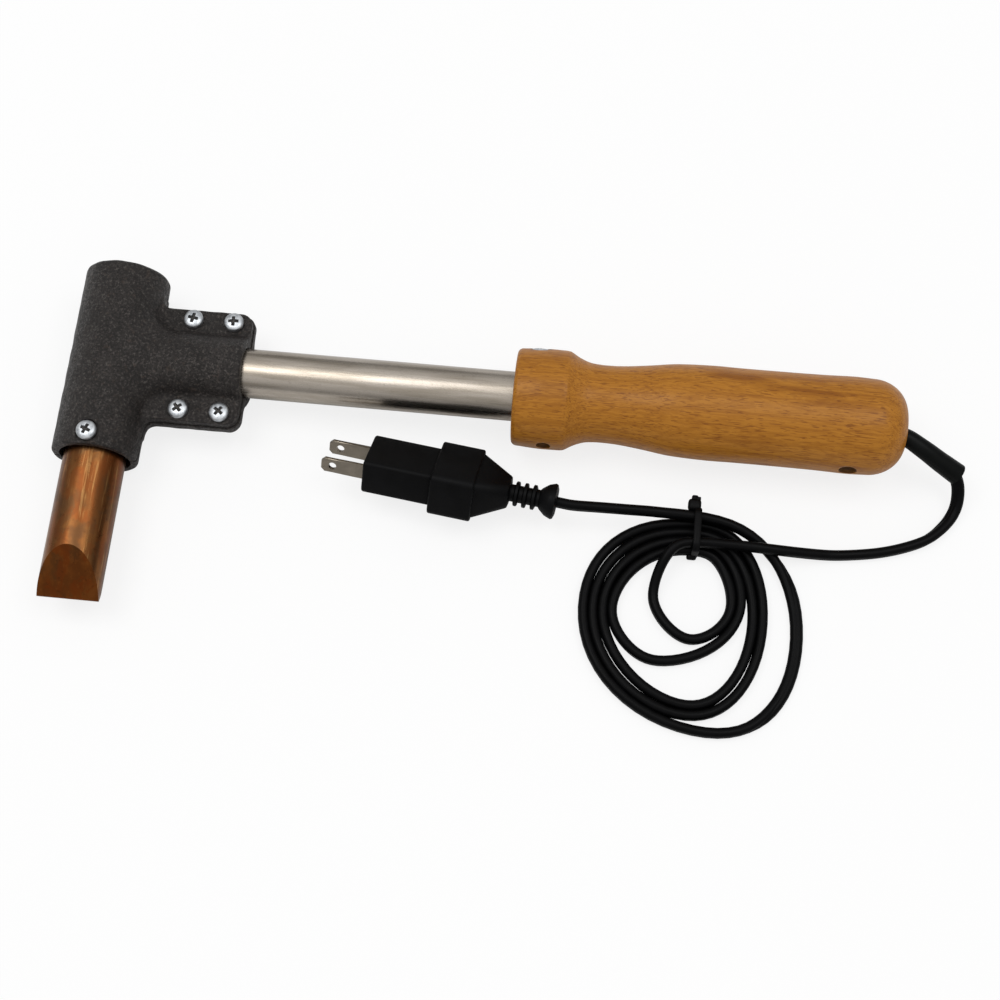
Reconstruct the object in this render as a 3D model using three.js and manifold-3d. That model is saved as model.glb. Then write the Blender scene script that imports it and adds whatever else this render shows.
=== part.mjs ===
// Electric soldering iron with a T-shaped cast head, a wooden handle and a tied flat cord with its plug.
// Millimetres, +Z up. The iron is drawn with its stem along X and its bit along -Y, then laid on the table.
import * as THREE from 'three';
import { mergeVertices } from 'three/addons/utils/BufferGeometryUtils.js';
import Module from 'manifold-3d';

const wasm = await Module();
wasm.setup();

// Clearances.
const gap = 0.3;
const bitGap = 1.7;
const mergeDistance = 0.0002;
const turn = Math.PI * 2;
const half = 0.5;

// Cast head, split on the stem's plane.
const headRadius = 17.2;
const headWall = 3.2;
const cavityRadius = headRadius - headWall;
const headLength = 80.4;
const headEndY = 38.2;
const mouthY = headEndY - headLength;
const headEndRound = 2.2;
const mouthRound = 0.8;
const headEndWall = 3.6;
const cavityEndY = headEndY - headEndWall;
const barrelRadius = 14;
const barrelEndX = 55.2;
const barrelRound = 1.2;
const rearHalfExtra = 0.6;
const flangeHalfSpan = 24.5;
const flangeThickness = 4;
const flangeCorner = 5;
const upperFillet = 4;
const lowerFillet = 9;
const headSides = 48;
const cornerSteps = 5;

// Screws of the head, placed from the barrel's end, the flange's edge and the mouth.
const flangeScrewInsets = [24.1, 7.4];
const flangeScrewXs = flangeScrewInsets.map((inset) => barrelEndX - inset);
const flangeScrewEdge = 4.7;
const flangeScrewY = flangeHalfSpan - flangeScrewEdge;
const bitScrewInset = 5.4;
const bitScrewY = mouthY + bitScrewInset;
const screwHeadRadius = 4;
const screwHeadHeight = 2.5;
const screwShankRadius = 1.9;
const flangeScrewLength = 8.6;
const crossWidth = 0.9;
const crossSpanShare = 0.55;
const crossDepthShare = 0.5;
const spotFaceDepth = 0.9;
const spotFaceZ = headRadius - spotFaceDepth;
const screwSides = 20;

// Heater: its layers fill the cavity from the wall inward to the bit's shank.
const coreWall = 1.6;
const coreGap = 0.4;
const windingWall = 1.2;
const windingRidges = 8;
const windingRidgeDepth = 0.4;
const windingInset = 2;
const wrapWall = 2.3;
const wrapGap = 0.4;
const wrapOuter = cavityRadius - wrapGap;
const wrapInner = wrapOuter - wrapWall;
const windingOuter = wrapInner - gap;
const windingInner = windingOuter - windingWall;
const coreOuter = windingInner - gap;
const coreInner = coreOuter - coreWall;
const heaterSides = 24;

// Copper bit.
const bitRadius = cavityRadius - bitGap;
const bitReach = 58.7;
const bitTipY = mouthY - bitReach;
const bitSeat = 14.2;
const bitShoulderY = mouthY + bitSeat;
const shankRadius = coreInner - coreGap;
const shankLength = 46;
const shankEndY = bitShoulderY + shankLength;
const shoulderGap = 4;
const coreFromY = bitShoulderY + shoulderGap;
const coreToY = shankEndY + shoulderGap;
const endPlugGap = 1.3;
const endPlugFromY = coreToY + endPlugGap;
const facetLength = 18.6;
const chiselHalfThickness = 0.3;
const shankChamfer = 1;
const bitSides = 40;

// Stem tube, seated in the barrel's socket.
const tubeRadius = 10;
const tubeWall = 1.2;
const tubeLength = 183;
const socketDepth = 33.5;
const socketShoulderX = barrelEndX - socketDepth;
const tubeFromX = socketShoulderX + gap;
const tubeToX = tubeFromX + tubeLength;
const passageStep = 0.2;
const passageRadius = tubeRadius - tubeWall - passageStep;
const tubeSides = 40;

// Wooden handle: its outline as shares of its length and of the flare's radius, as turned.
const handleOverlap = 40;
const handleFromX = tubeToX - handleOverlap;
const handleLength = 156;
const handleToX = handleFromX + handleLength;
const flareRadius = 20.2;
const flareShare = 0.0705;
const flareX = handleFromX + handleLength * flareShare;
const handleOutlineShares = [
  [0.0103, 0.97], [0.0385, 0.985], [flareShare, 1], [0.109, 0.998], [0.131, 0.99], [0.1385, 0.973],
  [0.1603, 0.877], [0.1859, 0.801], [0.2083, 0.777], [0.2436, 0.772], [0.282, 0.789], [0.346, 0.848],
  [0.404, 0.91], [0.5, 0.943],
  [0.577, 0.938], [0.7755, 0.9455], [0.8655, 0.963], [0.91, 0.9505],
];
const handleFrontRound = 1.4;
const handleEndFlat = 6.5;
const handleEndSteps = 5;
const handleSteps = 20;
const handleSides = 36;
const handleBoreLength = 97;
const handleBoreToX = handleFromX + handleBoreLength;
const wallScrewRadius = 1.8;
const upperScrewInset = 9;
const upperScrewLean = 0.47;
const upperScrewX = handleFromX + upperScrewInset;
const upperCounterRadius = 4.5;
const upperCounterDepth = 2.8;
const upperCounterFloor = flareRadius - upperCounterDepth;
const upperScrewHeadHeight = 2.4;
const lowerScrewInset = 13.2;
const lowerScrewX = handleFromX + lowerScrewInset;
const lowerCounterRadius = 2.9;
const lowerCounterDepth = 7.2;
const lowerCounterFloor = flareRadius - lowerCounterDepth;
const lowerScrewHeadHeight = 1.8;
const handleScrewPast = 3;
const handleScrewTip = tubeRadius - handleScrewPast;
const clampInset = 22;
const clampX = handleToX - clampInset;
const clampCounterRadius = 3.6;
const clampCounterDepth = 6.6;
const clampCounterFloor = flareRadius - clampCounterDepth;
const clampScrewRadius = 1.6;
const clampHeadHeight = 1.9;

// Terminal block and wires in the handle's wide bore, behind the tube.
const blockInset = 9;
const blockFromX = tubeToX + blockInset;
const blockLength = 24;
const blockWidth = 14;
const blockHeight = 10;
const wireRadius = 1.2;
const wireOffset = 3.5;
const wireDepth = 5;
const wireStraight = 2.4;
const wireEndStraight = 3.6;
const wireSteps = 3;
const wireSides = 8;
const terminalScrewRadius = 1.5;
const terminalScrewInset = 5;
const terminalScrewDepth = 2.6;
const terminalSlotWidth = 0.6;
const terminalSlotDepth = 0.7;

// Flat twin cord and its sleeve.
const cordWidth = 5.2;
const cordThickness = 3.2;
const cordCorner = 0.9;
const cordCut = 0.3;
const cordEndInset = 3.7;
const cordEndX = handleBoreToX - cordEndInset;
const cordOffsetY = -3;
const sleeveInset = 31;
const sleeveBendInset = 4;
const sleeveFromX = handleToX - sleeveInset;
const sleeveBendX = handleToX - sleeveBendInset;
const leadSteps = 2;
const sleeveInnerRadius = 3;
const sleeveRadius = 3.6;
const sleeveEndRadius = 4.5;
const sleeveSides = 12;
const conductorSpacing = 2.6;

// Route of the free lead on the table, from the sleeve to the tie: x, y, z.
const leadRoute = [
  [176.1, 24.9, 21.4], [183.4, 21.5, 18.3], [190, 18.6, 14.7], [192.9, 15.7, 11.1], [194.2, 12, 7.4],
  [194.1, 7.4, 4.2], [192.2, 2.8, 2.6], [188.4, -2.2, 2.3], [183.2, -6.9, 2.3], [174.7, -11, 2.3],
  [164.7, -14.2, 2.3], [154.8, -16.1, 2.3], [145.1, -17.4, 2.7], [133.2, -18.6, 5.9], [122, -19.3, 8.8],
  [112, -19.4, 10],
];
const sleeveRoutePoints = 3;
const sleevePlainPoints = 3;

// The tie and the places where the six strands pass through it: y, z.
const tieX = 90.4;
const tieReach = 3.6;
const tieWidth = 2.6;
const tieBand = 1.1;
const tieGap = 0.45;
const tieRound = 2;
const tieSteps = 3;
const slots = [[-19.4, 10.1], [-20.9, 4.3], [-17.2, 4.3], [-13.5, 4.3], [-9.8, 4.3], [-8.6, 10.1]];
const slotHoldShares = [0.4, 0.04, 0.04, 0.04, 0.04, 0.13];
const slotSettleShares = [1, 0.5, 0.5, 0.5, 0.5, 0.5];
const tieHeadSize = [4.4, 5.4, 4.2];
const tieHeadShift = [-1.6, 2.2, -1.6];
const tieTailSize = [3.6, 2.6, 2.6];
const tieTailShift = [-0.8, -0.9, -1.2];

// Loops of the coil, smallest first: leftmost, lowest and rightmost point of each.
const loops = [
  [[75, -41], [91, -58], [107, -42]],
  [[59, -48], [78, -68], [111, -42]],
  [[55, -48], [92, -85], [116, -48]],
  [[51, -48], [92, -89], [120, -48]],
  [[47, -48], [101, -95], [134, -53]],
];
// Roundness of the smallest loop, where 2 is an ellipse and more is squarer, and what each next loop adds to it.
const firstRoundness = 1.8;
const roundnessStep = 0.1;
// How much less round each loop's lower left is.
const lowerLeftLess = 0.2;
const quarterSteps = 8;
const flatFromShare = 0.1;
const flatToShare = 0.58;
const flatBlendShare = 0.22;
const strandWidths = 3;
const nearWidths = 4;
const strandShares = [0, 0.25, 0.5, 0.75];

// Tail from the tie to the plug: x, y, z.
const tailRoute = [[70.5, -8.9, 11.1], [62.5, -9.6, 12.6], [55, -10.1, 13.7], [47.5, -10.5, 14.4]];

// Plug.
const plugFace = [-43, -1];
const plugTurnAngle = -0.117;
const plugRollAngle = -0.616;
const plugBodyLength = 27.4;
const plugBodyWidth = 21.4;
const plugBodyThickness = 14.8;
const plugRound = 1.6;
const plugFaceRound = 1;
const plugCornerSteps = 3;
const collarLength = 17.4;
const collarWidth = 27.4;
const collarThickness = 19.2;
const collarRound = 2.6;
const bootConeLength = 13;
const bootConeShare = 0.88;
const bootNeckWidth = 12.4;
const bootNeckThickness = 11;
const bootNeckRound = 4;
const bootCoreRadius = 3.5;
const bootRibRadius = 5.1;
const bootRibs = 3;
const bootRibLength = 1.7;
const bootRibPitch = 3.5;
const bootEndLength = 7.4;
const bootEndRadius = 7.2;
const bladeLength = 17.5;
const bladeRootDepth = 5;
const bladeHeight = 6.35;
const bladeThickness = 1.5;
const bladeSpacing = 12.7;
const bladeHoleRadius = 1.6;
const bladeHoleFromTip = 4.6;
const bladeChamfer = 1.4;
const bladeHoleSteps = 8;

const material = (color, metalness, roughness) => new THREE.MeshStandardMaterial({ color, metalness, roughness });
const materials = {
  cast: material('#3a3431', 0.6, 0.75),
  zinc: material('#b9bcbf', 0.9, 0.35),
  copper: material('#a9683a', 0.9, 0.45),
  ceramic: material('#d9d2c4', 0, 0.8),
  resistance: material('#7d7770', 0.8, 0.5),
  wrap: material('#b6aa8c', 0, 0.7),
  steel: material('#b5b0a8', 0.9, 0.3),
  wood: material('#c88848', 0, 0.5),
  brass: material('#b59a55', 0.9, 0.35),
  insulation: material('#d8d4cc', 0, 0.8),
  black: material('#161617', 0, 0.5),
  block: material('#e6e2d6', 0, 0.5),
};

// Welds a geometry's vertices, drops flat triangles and turns its faces outward.
function welded(geometry) {
  const bare = geometry.clone();
  bare.deleteAttribute('normal');
  bare.deleteAttribute('uv');
  const merged = mergeVertices(bare, mergeDistance);
  const points = merged.attributes.position;
  const kept = [];
  const a = new THREE.Vector3();
  const b = new THREE.Vector3();
  const c = new THREE.Vector3();
  let volume = 0;
  for (let i = 0; i < merged.index.count; i += 3) {
    const corners = [merged.index.getX(i), merged.index.getX(i + 1), merged.index.getX(i + 2)];
    if (new Set(corners).size < corners.length) continue;
    kept.push(corners);
    a.fromBufferAttribute(points, corners[0]);
    b.fromBufferAttribute(points, corners[1]);
    c.fromBufferAttribute(points, corners[2]);
    volume += a.dot(b.cross(c));
  }
  if (volume < 0) kept.forEach((corners) => corners.reverse());
  merged.setIndex(kept.flat());
  return merged;
}

function toSolid(geometry) {
  const closed = welded(geometry);
  return new wasm.Manifold(new wasm.Mesh({
    numProp: 3,
    vertProperties: new Float32Array(closed.attributes.position.array),
    triVerts: new Uint32Array(closed.index.array),
  }));
}

function toGeometry(solid) {
  const mesh = solid.getMesh();
  const geometry = new THREE.BufferGeometry();
  geometry.setAttribute('position', new THREE.BufferAttribute(new Float32Array(mesh.vertProperties), 3));
  geometry.setIndex([...mesh.triVerts]);
  return geometry;
}

const join = (...geometries) => geometries.map(toSolid).reduce((sum, next) => sum.add(next));
const cut = (solid, ...geometries) => geometries.map(toSolid).reduce((rest, next) => rest.subtract(next), solid);

// Turns a profile of [distance along, radius] about the X, Y or Z axis.
function turned(profile, sides, axis) {
  const geometry = new THREE.LatheGeometry(profile.map(([along, radius]) => new THREE.Vector2(radius, along)), sides);
  if (axis === 'x') geometry.rotateZ(-turn / 4);
  if (axis === 'z') geometry.rotateX(turn / 4);
  return geometry;
}

// A plain round bar between two distances along its axis.
const bar = (from, to, radius, sides, axis) => turned([[from, 0], [from, radius], [to, radius], [to, 0]], sides, axis);

// A pipe whose profile closes on itself.
const pipe = (from, to, inner, outer, sides, axis) => turned(
  [[from, inner], [from, outer], [to, outer], [to, inner], [from, inner]], sides, axis);

// A box between two corners.
function block(low, high) {
  const size = high.map((value, i) => value - low[i]);
  return new THREE.BoxGeometry(...size).translate(...low.map((value, i) => value + size[i] * half));
}

// Closed solid through rings of equally many points, each end closed by a fan about its middle.
function skin(rings) {
  const sides = rings[0].length;
  const positions = [];
  const index = [];
  rings.forEach((ring) => ring.forEach((point) => positions.push(point.x, point.y, point.z)));
  for (let i = 0; i + 1 < rings.length; i += 1) {
    for (let j = 0; j < sides; j += 1) {
      const next = (j + 1) % sides;
      const a = i * sides + j;
      const b = i * sides + next;
      index.push(a, b, b + sides, a, b + sides, a + sides);
    }
  }
  [0, rings.length - 1].forEach((end) => {
    const middle = positions.length / 3;
    const centre = rings[end].reduce((sum, point) => sum.add(point), new THREE.Vector3()).divideScalar(sides);
    positions.push(centre.x, centre.y, centre.z);
    for (let j = 0; j < sides; j += 1) {
      const a = end * sides + j;
      const b = end * sides + ((j + 1) % sides);
      index.push(...(end === 0 ? [middle, b, a] : [middle, a, b]));
    }
  });
  const geometry = new THREE.BufferGeometry();
  geometry.setAttribute('position', new THREE.Float32BufferAttribute(positions, 3));
  geometry.setIndex(index);
  return geometry;
}

// Directions along a path and level across it at each of its points.
function frames(path) {
  return path.map((point, i) => {
    const before = path[Math.max(i - 1, 0)];
    const after = path[Math.min(i + 1, path.length - 1)];
    const along = after.clone().sub(before).normalize();
    const side = new THREE.Vector3(-along.y, along.x, 0).normalize();
    return { point, along, side, up: along.clone().cross(side) };
  });
}

// The cord's eight-cornered section: half sizes across the width and the thickness.
const cordSection = [[1, -1], [1, 1], [-1, 1], [-1, -1]].flatMap(([w, t]) => {
  const broad = [w * (cordWidth * half - cordCorner), t * cordThickness * half];
  const narrow = [w * cordWidth * half, t * (cordThickness * half - cordCorner)];
  return w === t ? [narrow, broad] : [broad, narrow];
});

// Rings of flat cord along a path. Flatness 0 stands it on its edge, 1 lays its broad side on the table.
function cordRings(path, flatness) {
  return frames(path).map(({ point, side, up }, i) => {
    const lean = (1 - flatness[i]) * turn / 4;
    const width = side.clone().multiplyScalar(Math.cos(lean)).addScaledVector(up, Math.sin(lean));
    const depth = up.clone().multiplyScalar(Math.cos(lean)).addScaledVector(side, -Math.sin(lean));
    return cordSection.map(([w, t]) => {
      const corner = point.clone().addScaledVector(width, w).addScaledVector(depth, t);
      corner.z = Math.max(corner.z, 0);
      return corner;
    });
  });
}

// Rings of a round tube of one radius a point along a path.
function roundRings(path, radii, sides) {
  return frames(path).map(({ point, side, up }, i) => Array.from({ length: sides }, (_, j) => {
    const angle = (j / sides) * turn;
    const [across, above] = [Math.cos(angle) * radii[i], Math.sin(angle) * radii[i]];
    return point.clone().addScaledVector(side, across).addScaledVector(up, above);
  }));
}

// Points along a smooth curve through a route, a number of steps to each of its stretches.
function smoothPath(route, stepsEach) {
  const curve = new THREE.CatmullRomCurve3(route, false, 'centripetal');
  return Array.from({ length: (route.length - 1) * stepsEach + 1 }, (_, i) => (
    curve.getPoint(i / ((route.length - 1) * stepsEach))));
}

const vector = ([x, y, z]) => new THREE.Vector3(x, y, z);
const smooth = (share) => THREE.MathUtils.smoothstep(share, 0, 1);

const part = new THREE.Group();
part.name = 'soldering_iron';
const iron = new THREE.Group();
iron.name = 'iron';
part.add(iron);

function add(name, geometry, finish, group = part) {
  const mesh = new THREE.Mesh(welded(geometry), materials[finish]);
  mesh.name = name;
  group.add(mesh);
  return mesh;
}

// Cast head. Its flange outline carries the fillets that run into the head's sides.
function flangeOutline(extra) {
  const right = barrelEndX + extra;
  const span = flangeHalfSpan + extra;
  const side = headRadius;
  const shape = new THREE.Shape();
  shape.moveTo(0, span + upperFillet);
  shape.lineTo(side, span + upperFillet);
  shape.absarc(side + upperFillet, span + upperFillet, upperFillet, turn / 2, (turn * 3) / 4, false);
  shape.absarc(right - flangeCorner, span - flangeCorner, flangeCorner, turn / 4, 0, true);
  shape.absarc(right - flangeCorner, flangeCorner - span, flangeCorner, 0, -turn / 4, true);
  shape.absarc(side + lowerFillet, -span - lowerFillet, lowerFillet, turn / 4, turn / 2, false);
  shape.lineTo(0, -span - lowerFillet);
  return shape;
}

function castHalf(front) {
  const extra = front ? 0 : rearHalfExtra;
  const body = turned([
    [mouthY, 0], [mouthY, headRadius - mouthRound], [mouthY + mouthRound, headRadius],
    [headEndY - headEndRound, headRadius],
    [headEndY - headEndRound * (1 - Math.SQRT1_2), headRadius - headEndRound * (1 - Math.SQRT1_2)],
    [headEndY, headRadius - headEndRound], [headEndY, 0],
  ], headSides, 'y');
  const barrel = turned([
    [0, 0], [0, barrelRadius], [barrelEndX + extra - barrelRound, barrelRadius],
    [barrelEndX + extra, barrelRadius - barrelRound], [barrelEndX + extra, 0],
  ], headSides, 'x');
  const flange = new THREE.ExtrudeGeometry(flangeOutline(extra), {
    depth: flangeThickness * 2, bevelEnabled: false, curveSegments: cornerSteps,
  }).translate(0, 0, -flangeThickness);
  const reach = barrelEndX * 2;
  const parting = gap * half;
  const screwBore = screwShankRadius + gap;
  const holes = flangeScrewXs.flatMap((x) => [-flangeScrewY, flangeScrewY].map((y) => (
    bar(-headRadius, headRadius, screwBore, screwSides, 'z').translate(x, y, 0))));
  const bitHoles = front ? [
    bar(0, headRadius * 2, screwBore, screwSides, 'z').translate(0, bitScrewY, 0),
    bar(spotFaceZ, headRadius * 2, screwHeadRadius + gap * 2, screwSides, 'z').translate(0, bitScrewY, 0),
  ] : [];
  const solid = cut(
    join(body, barrel, flange),
    bar(mouthY * 2, cavityEndY, cavityRadius, headSides, 'y'),
    bar(socketShoulderX, reach, tubeRadius + gap, headSides, 'x'),
    bar(0, reach, passageRadius, headSides, 'x'),
    ...holes,
    ...bitHoles,
    block([-reach, -reach, front ? -reach : -parting], [reach, reach, front ? parting : reach]),
  );
  return toGeometry(solid);
}

add('head_front_casting', castHalf(true), 'cast', iron);
add('head_rear_casting', castHalf(false), 'cast', iron);

// Pan-head screw along +Z with its seat at the origin and a cross cut in its head.
function crossScrew(shank, length, head, height) {
  const sag = height * half;
  const body = turned([
    [-length, 0], [-length, shank], [0, shank], [0, head], [sag, head],
    [height - sag * half, head - sag * half], [height, head * half], [height, 0],
  ], screwSides, 'z');
  const span = head * crossSpanShare;
  const arm = crossWidth * half;
  const floor = height - height * crossDepthShare;
  return toGeometry(cut(
    toSolid(body),
    block([-span, -arm, floor], [span, arm, height * 2]),
    block([-arm, -span, floor], [arm, span, height * 2]),
  ));
}

let flangeScrewCount = 0;
flangeScrewXs.forEach((x) => [flangeScrewY, -flangeScrewY].forEach((y) => {
  flangeScrewCount += 1;
  const screw = crossScrew(screwShankRadius, flangeScrewLength, screwHeadRadius, screwHeadHeight);
  add(`flange_screw_${flangeScrewCount}`, screw, 'zinc', iron).position.set(x, y, flangeThickness + gap);
}));
const bitScrewSeat = spotFaceZ + gap;
const bitScrew = crossScrew(screwShankRadius, bitScrewSeat - bitRadius - gap, screwHeadRadius, screwHeadHeight);
add('bit_screw', bitScrew, 'zinc', iron).position.set(0, bitScrewY, bitScrewSeat);

// Copper bit: a round bar with a thinner shank, cut to a chisel by two slanting planes.
const facetSlope = (bitRadius - chiselHalfThickness) / facetLength;
const wedgeTopY = bitTipY + facetLength + gap / facetSlope;
const wedge = new THREE.Shape([
  [headEndY, bitRadius + gap], [wedgeTopY, bitRadius + gap], [bitTipY, chiselHalfThickness],
  [bitTipY, -chiselHalfThickness], [wedgeTopY, -bitRadius - gap], [headEndY, -bitRadius - gap],
].map(([y, z]) => new THREE.Vector2(y, z)));
const wedgeBody = new THREE.ExtrudeGeometry(wedge, { depth: bitRadius * 4, bevelEnabled: false });
wedgeBody.applyMatrix4(new THREE.Matrix4().makeBasis(
  new THREE.Vector3(0, 1, 0), new THREE.Vector3(0, 0, 1), new THREE.Vector3(1, 0, 0)));
wedgeBody.translate(-bitRadius * 2, 0, 0);
const bitBar = turned([
  [bitTipY - gap, 0], [bitTipY - gap, bitRadius], [bitShoulderY - shankChamfer, bitRadius],
  [bitShoulderY, bitRadius - shankChamfer], [bitShoulderY, shankRadius], [shankEndY - shankChamfer, shankRadius],
  [shankEndY, shankRadius - shankChamfer], [shankEndY, 0],
], bitSides, 'y');
add('copper_bit', toGeometry(toSolid(bitBar).intersect(toSolid(wedgeBody))), 'copper', iron);

// Heater: ceramic core, ridged winding, heat wrap and end plug.
add('heater_core', pipe(coreFromY, coreToY, coreInner, coreOuter, heaterSides, 'y'), 'ceramic', iron);
const windingFrom = coreFromY + windingInset;
const windingTo = coreToY - windingInset;
const windingProfile = [[windingFrom, windingInner], [windingFrom, windingOuter]];
for (let i = 0; i < windingRidges; i += 1) {
  const pitch = (windingTo - windingFrom) / windingRidges;
  windingProfile.push([windingFrom + pitch * (i + half), windingOuter - windingRidgeDepth]);
  windingProfile.push([windingFrom + pitch * (i + 1), windingOuter]);
}
windingProfile.push([windingTo, windingInner], [windingFrom, windingInner]);
add('heater_winding', turned(windingProfile, heaterSides, 'y'), 'resistance', iron);
add('heater_wrap', pipe(coreFromY, coreToY, wrapInner, wrapOuter, heaterSides, 'y'), 'wrap', iron);
add('heater_end_plug', bar(endPlugFromY, cavityEndY - gap, wrapOuter, heaterSides, 'y'), 'ceramic', iron);

// Stem tube with the two holes that its handle screws enter.
const wallBore = wallScrewRadius + gap;
add('stem_tube', toGeometry(cut(
  toSolid(pipe(tubeFromX, tubeToX, tubeRadius - tubeWall, tubeRadius, tubeSides, 'x')),
  bar(0, tubeRadius * 2, wallBore, screwSides, 'y').rotateX(upperScrewLean).translate(upperScrewX, 0, 0),
  bar(-tubeRadius * 2, 0, wallBore, screwSides, 'y').translate(lowerScrewX, 0, 0),
)), 'steel', iron);

// Wooden handle: a smooth curve through its stations, with an elliptic end.
const stations = handleOutlineShares.map(([along, radius]) => (
  new THREE.Vector2(handleFromX + handleLength * along, flareRadius * radius)));
const stationCurve = new THREE.SplineCurve(stations);
const lastStation = stations[stations.length - 1];
const handleProfile = [[handleFromX, 0], [handleFromX, stations[0].y - handleFrontRound]];
stationCurve.getPoints(handleSteps).forEach((point) => handleProfile.push([point.x, point.y]));
for (let i = 1; i <= handleEndSteps; i += 1) {
  const angle = (i / handleEndSteps) * (turn / 4);
  handleProfile.push([
    lastStation.x + (handleToX - lastStation.x) * Math.sin(angle),
    handleEndFlat + (lastStation.y - handleEndFlat) * Math.cos(angle),
  ]);
}
handleProfile.push([handleToX, 0]);
const across = flareRadius * 2;
add('wooden_handle', toGeometry(cut(
  toSolid(turned(handleProfile, handleSides, 'x')),
  bar(handleFromX - gap, handleBoreToX, tubeRadius + gap, tubeSides, 'x'),
  bar(handleBoreToX - gap, handleToX * 2, sleeveRadius + gap, screwSides, 'x').translate(0, cordOffsetY, 0),
  bar(0, across, wallBore, screwSides, 'y').rotateX(upperScrewLean).translate(upperScrewX, 0, 0),
  bar(upperCounterFloor, across, upperCounterRadius, screwSides, 'y')
    .rotateX(upperScrewLean).translate(upperScrewX, 0, 0),
  bar(-across, 0, wallBore, screwSides, 'y').translate(lowerScrewX, 0, 0),
  bar(-across, -lowerCounterFloor, lowerCounterRadius, screwSides, 'y').translate(lowerScrewX, 0, 0),
  bar(-across, cordOffsetY, clampScrewRadius + gap, screwSides, 'y').translate(clampX, 0, 0),
  bar(-across, -clampCounterFloor, clampCounterRadius, screwSides, 'y').translate(clampX, 0, 0),
)), 'wood', iron);

// Screws that point across the handle, their heads at an angle from +Z about its axis.
function handleScrew(name, x, angle, seat, tip, shank, head, height) {
  const screw = crossScrew(shank, seat - tip, head, height);
  const mesh = add(name, screw, 'zinc', iron);
  mesh.rotation.x = angle;
  mesh.position.set(x, -Math.sin(angle) * seat, Math.cos(angle) * seat);
}
handleScrew('handle_screw_upper', upperScrewX, upperScrewLean - turn / 4, upperCounterFloor + gap, handleScrewTip,
  wallScrewRadius, upperCounterRadius - gap, upperScrewHeadHeight);
handleScrew('handle_screw_lower', lowerScrewX, turn / 4, lowerCounterFloor + gap, handleScrewTip, wallScrewRadius,
  lowerCounterRadius - gap, lowerScrewHeadHeight);
handleScrew('cord_clamp_screw', clampX, turn / 4, clampCounterFloor + gap, -cordOffsetY + sleeveRadius + gap,
  clampScrewRadius, clampCounterRadius - gap, clampHeadHeight);

// Terminal block with blind wire holes, its screws, and the wires on both sides of it.
const blockToX = blockFromX + blockLength;
const wireBore = wireRadius + gap;
const terminalXs = [blockFromX + terminalScrewInset, blockToX - terminalScrewInset];
const terminalFloor = blockHeight * half - terminalScrewDepth;
const wireYs = [-wireOffset, wireOffset];
add('terminal_block', toGeometry(cut(
  toSolid(block(
    [blockFromX, -blockWidth * half, -blockHeight * half], [blockToX, blockWidth * half, blockHeight * half])),
  ...wireYs.flatMap((y) => [
    bar(blockFromX - gap, blockFromX + wireDepth + gap, wireBore, wireSides, 'x').translate(0, y, 0),
    bar(blockToX - wireDepth - gap, blockToX + gap, wireBore, wireSides, 'x').translate(0, y, 0),
    ...terminalXs.map((x) => (
      bar(terminalFloor, blockHeight, terminalScrewRadius + gap, wireSides, 'z').translate(x, y, 0))),
  ]),
)), 'block', iron);
wireYs.forEach((y, i) => {
  terminalXs.forEach((x, j) => {
    const head = bar(terminalFloor + gap, blockHeight * half, terminalScrewRadius, wireSides, 'z');
    const slotFloor = blockHeight * half - terminalSlotDepth;
    const slot = block(
      [-terminalScrewRadius * 2, -terminalSlotWidth * half, slotFloor],
      [terminalScrewRadius * 2, terminalSlotWidth * half, blockHeight]);
    add(`terminal_screw_${i * 2 + j + 1}`, toGeometry(cut(toSolid(head), slot)), 'brass', iron).position.set(x, y, 0);
  });
  add(`heater_wire_${i + 1}`, bar(wrapOuter + gap * 2, blockFromX + wireDepth, wireRadius, wireSides, 'x')
    .translate(0, y, 0), 'insulation', iron);
  const coreY = cordOffsetY + (i - half) * conductorSpacing;
  const wireRoute = [
    [blockToX - wireDepth, y, 0], [blockToX + wireStraight, y, 0],
    [cordEndX - wireEndStraight, coreY, 0], [cordEndX - gap, coreY, 0],
  ].map(vector);
  const wirePath = smoothPath(wireRoute, wireSteps);
  add(`cord_core_${i + 1}`, skin(roundRings(wirePath, wirePath.map(() => wireRadius), wireSides)), 'insulation', iron);
});

// Lays the iron on the table: the head and the handle's flare both touch it.
const tilt = Math.atan((flareRadius - headRadius) / flareX);
iron.rotation.y = -tilt;
iron.updateMatrixWorld(true);
const bounds = new THREE.Box3().setFromObject(iron, true);
const middle = bounds.getCenter(new THREE.Vector3());
iron.position.set(-middle.x, -middle.y, -bounds.min.z);
iron.updateMatrixWorld(true);

// Free lead: straight in the handle's rear bore, then over the table to the tie.
const handlePoint = (x) => new THREE.Vector3(x, cordOffsetY, 0).applyMatrix4(iron.matrixWorld);
const coilStartX = tieX + tieReach + cordWidth;
const leadEnd = [coilStartX + gap + cordWidth, coilStartX + gap].map((x) => vector([x, ...slots[0]]));
const leadPoints = [
  ...[cordEndX, sleeveFromX, sleeveBendX, handleToX].map(handlePoint), ...leadRoute.map(vector), ...leadEnd,
];
const leadPath = smoothPath(leadPoints, leadSteps);
add('cord_lead', skin(cordRings(leadPath, leadPath.map(() => 0))), 'black');

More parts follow.
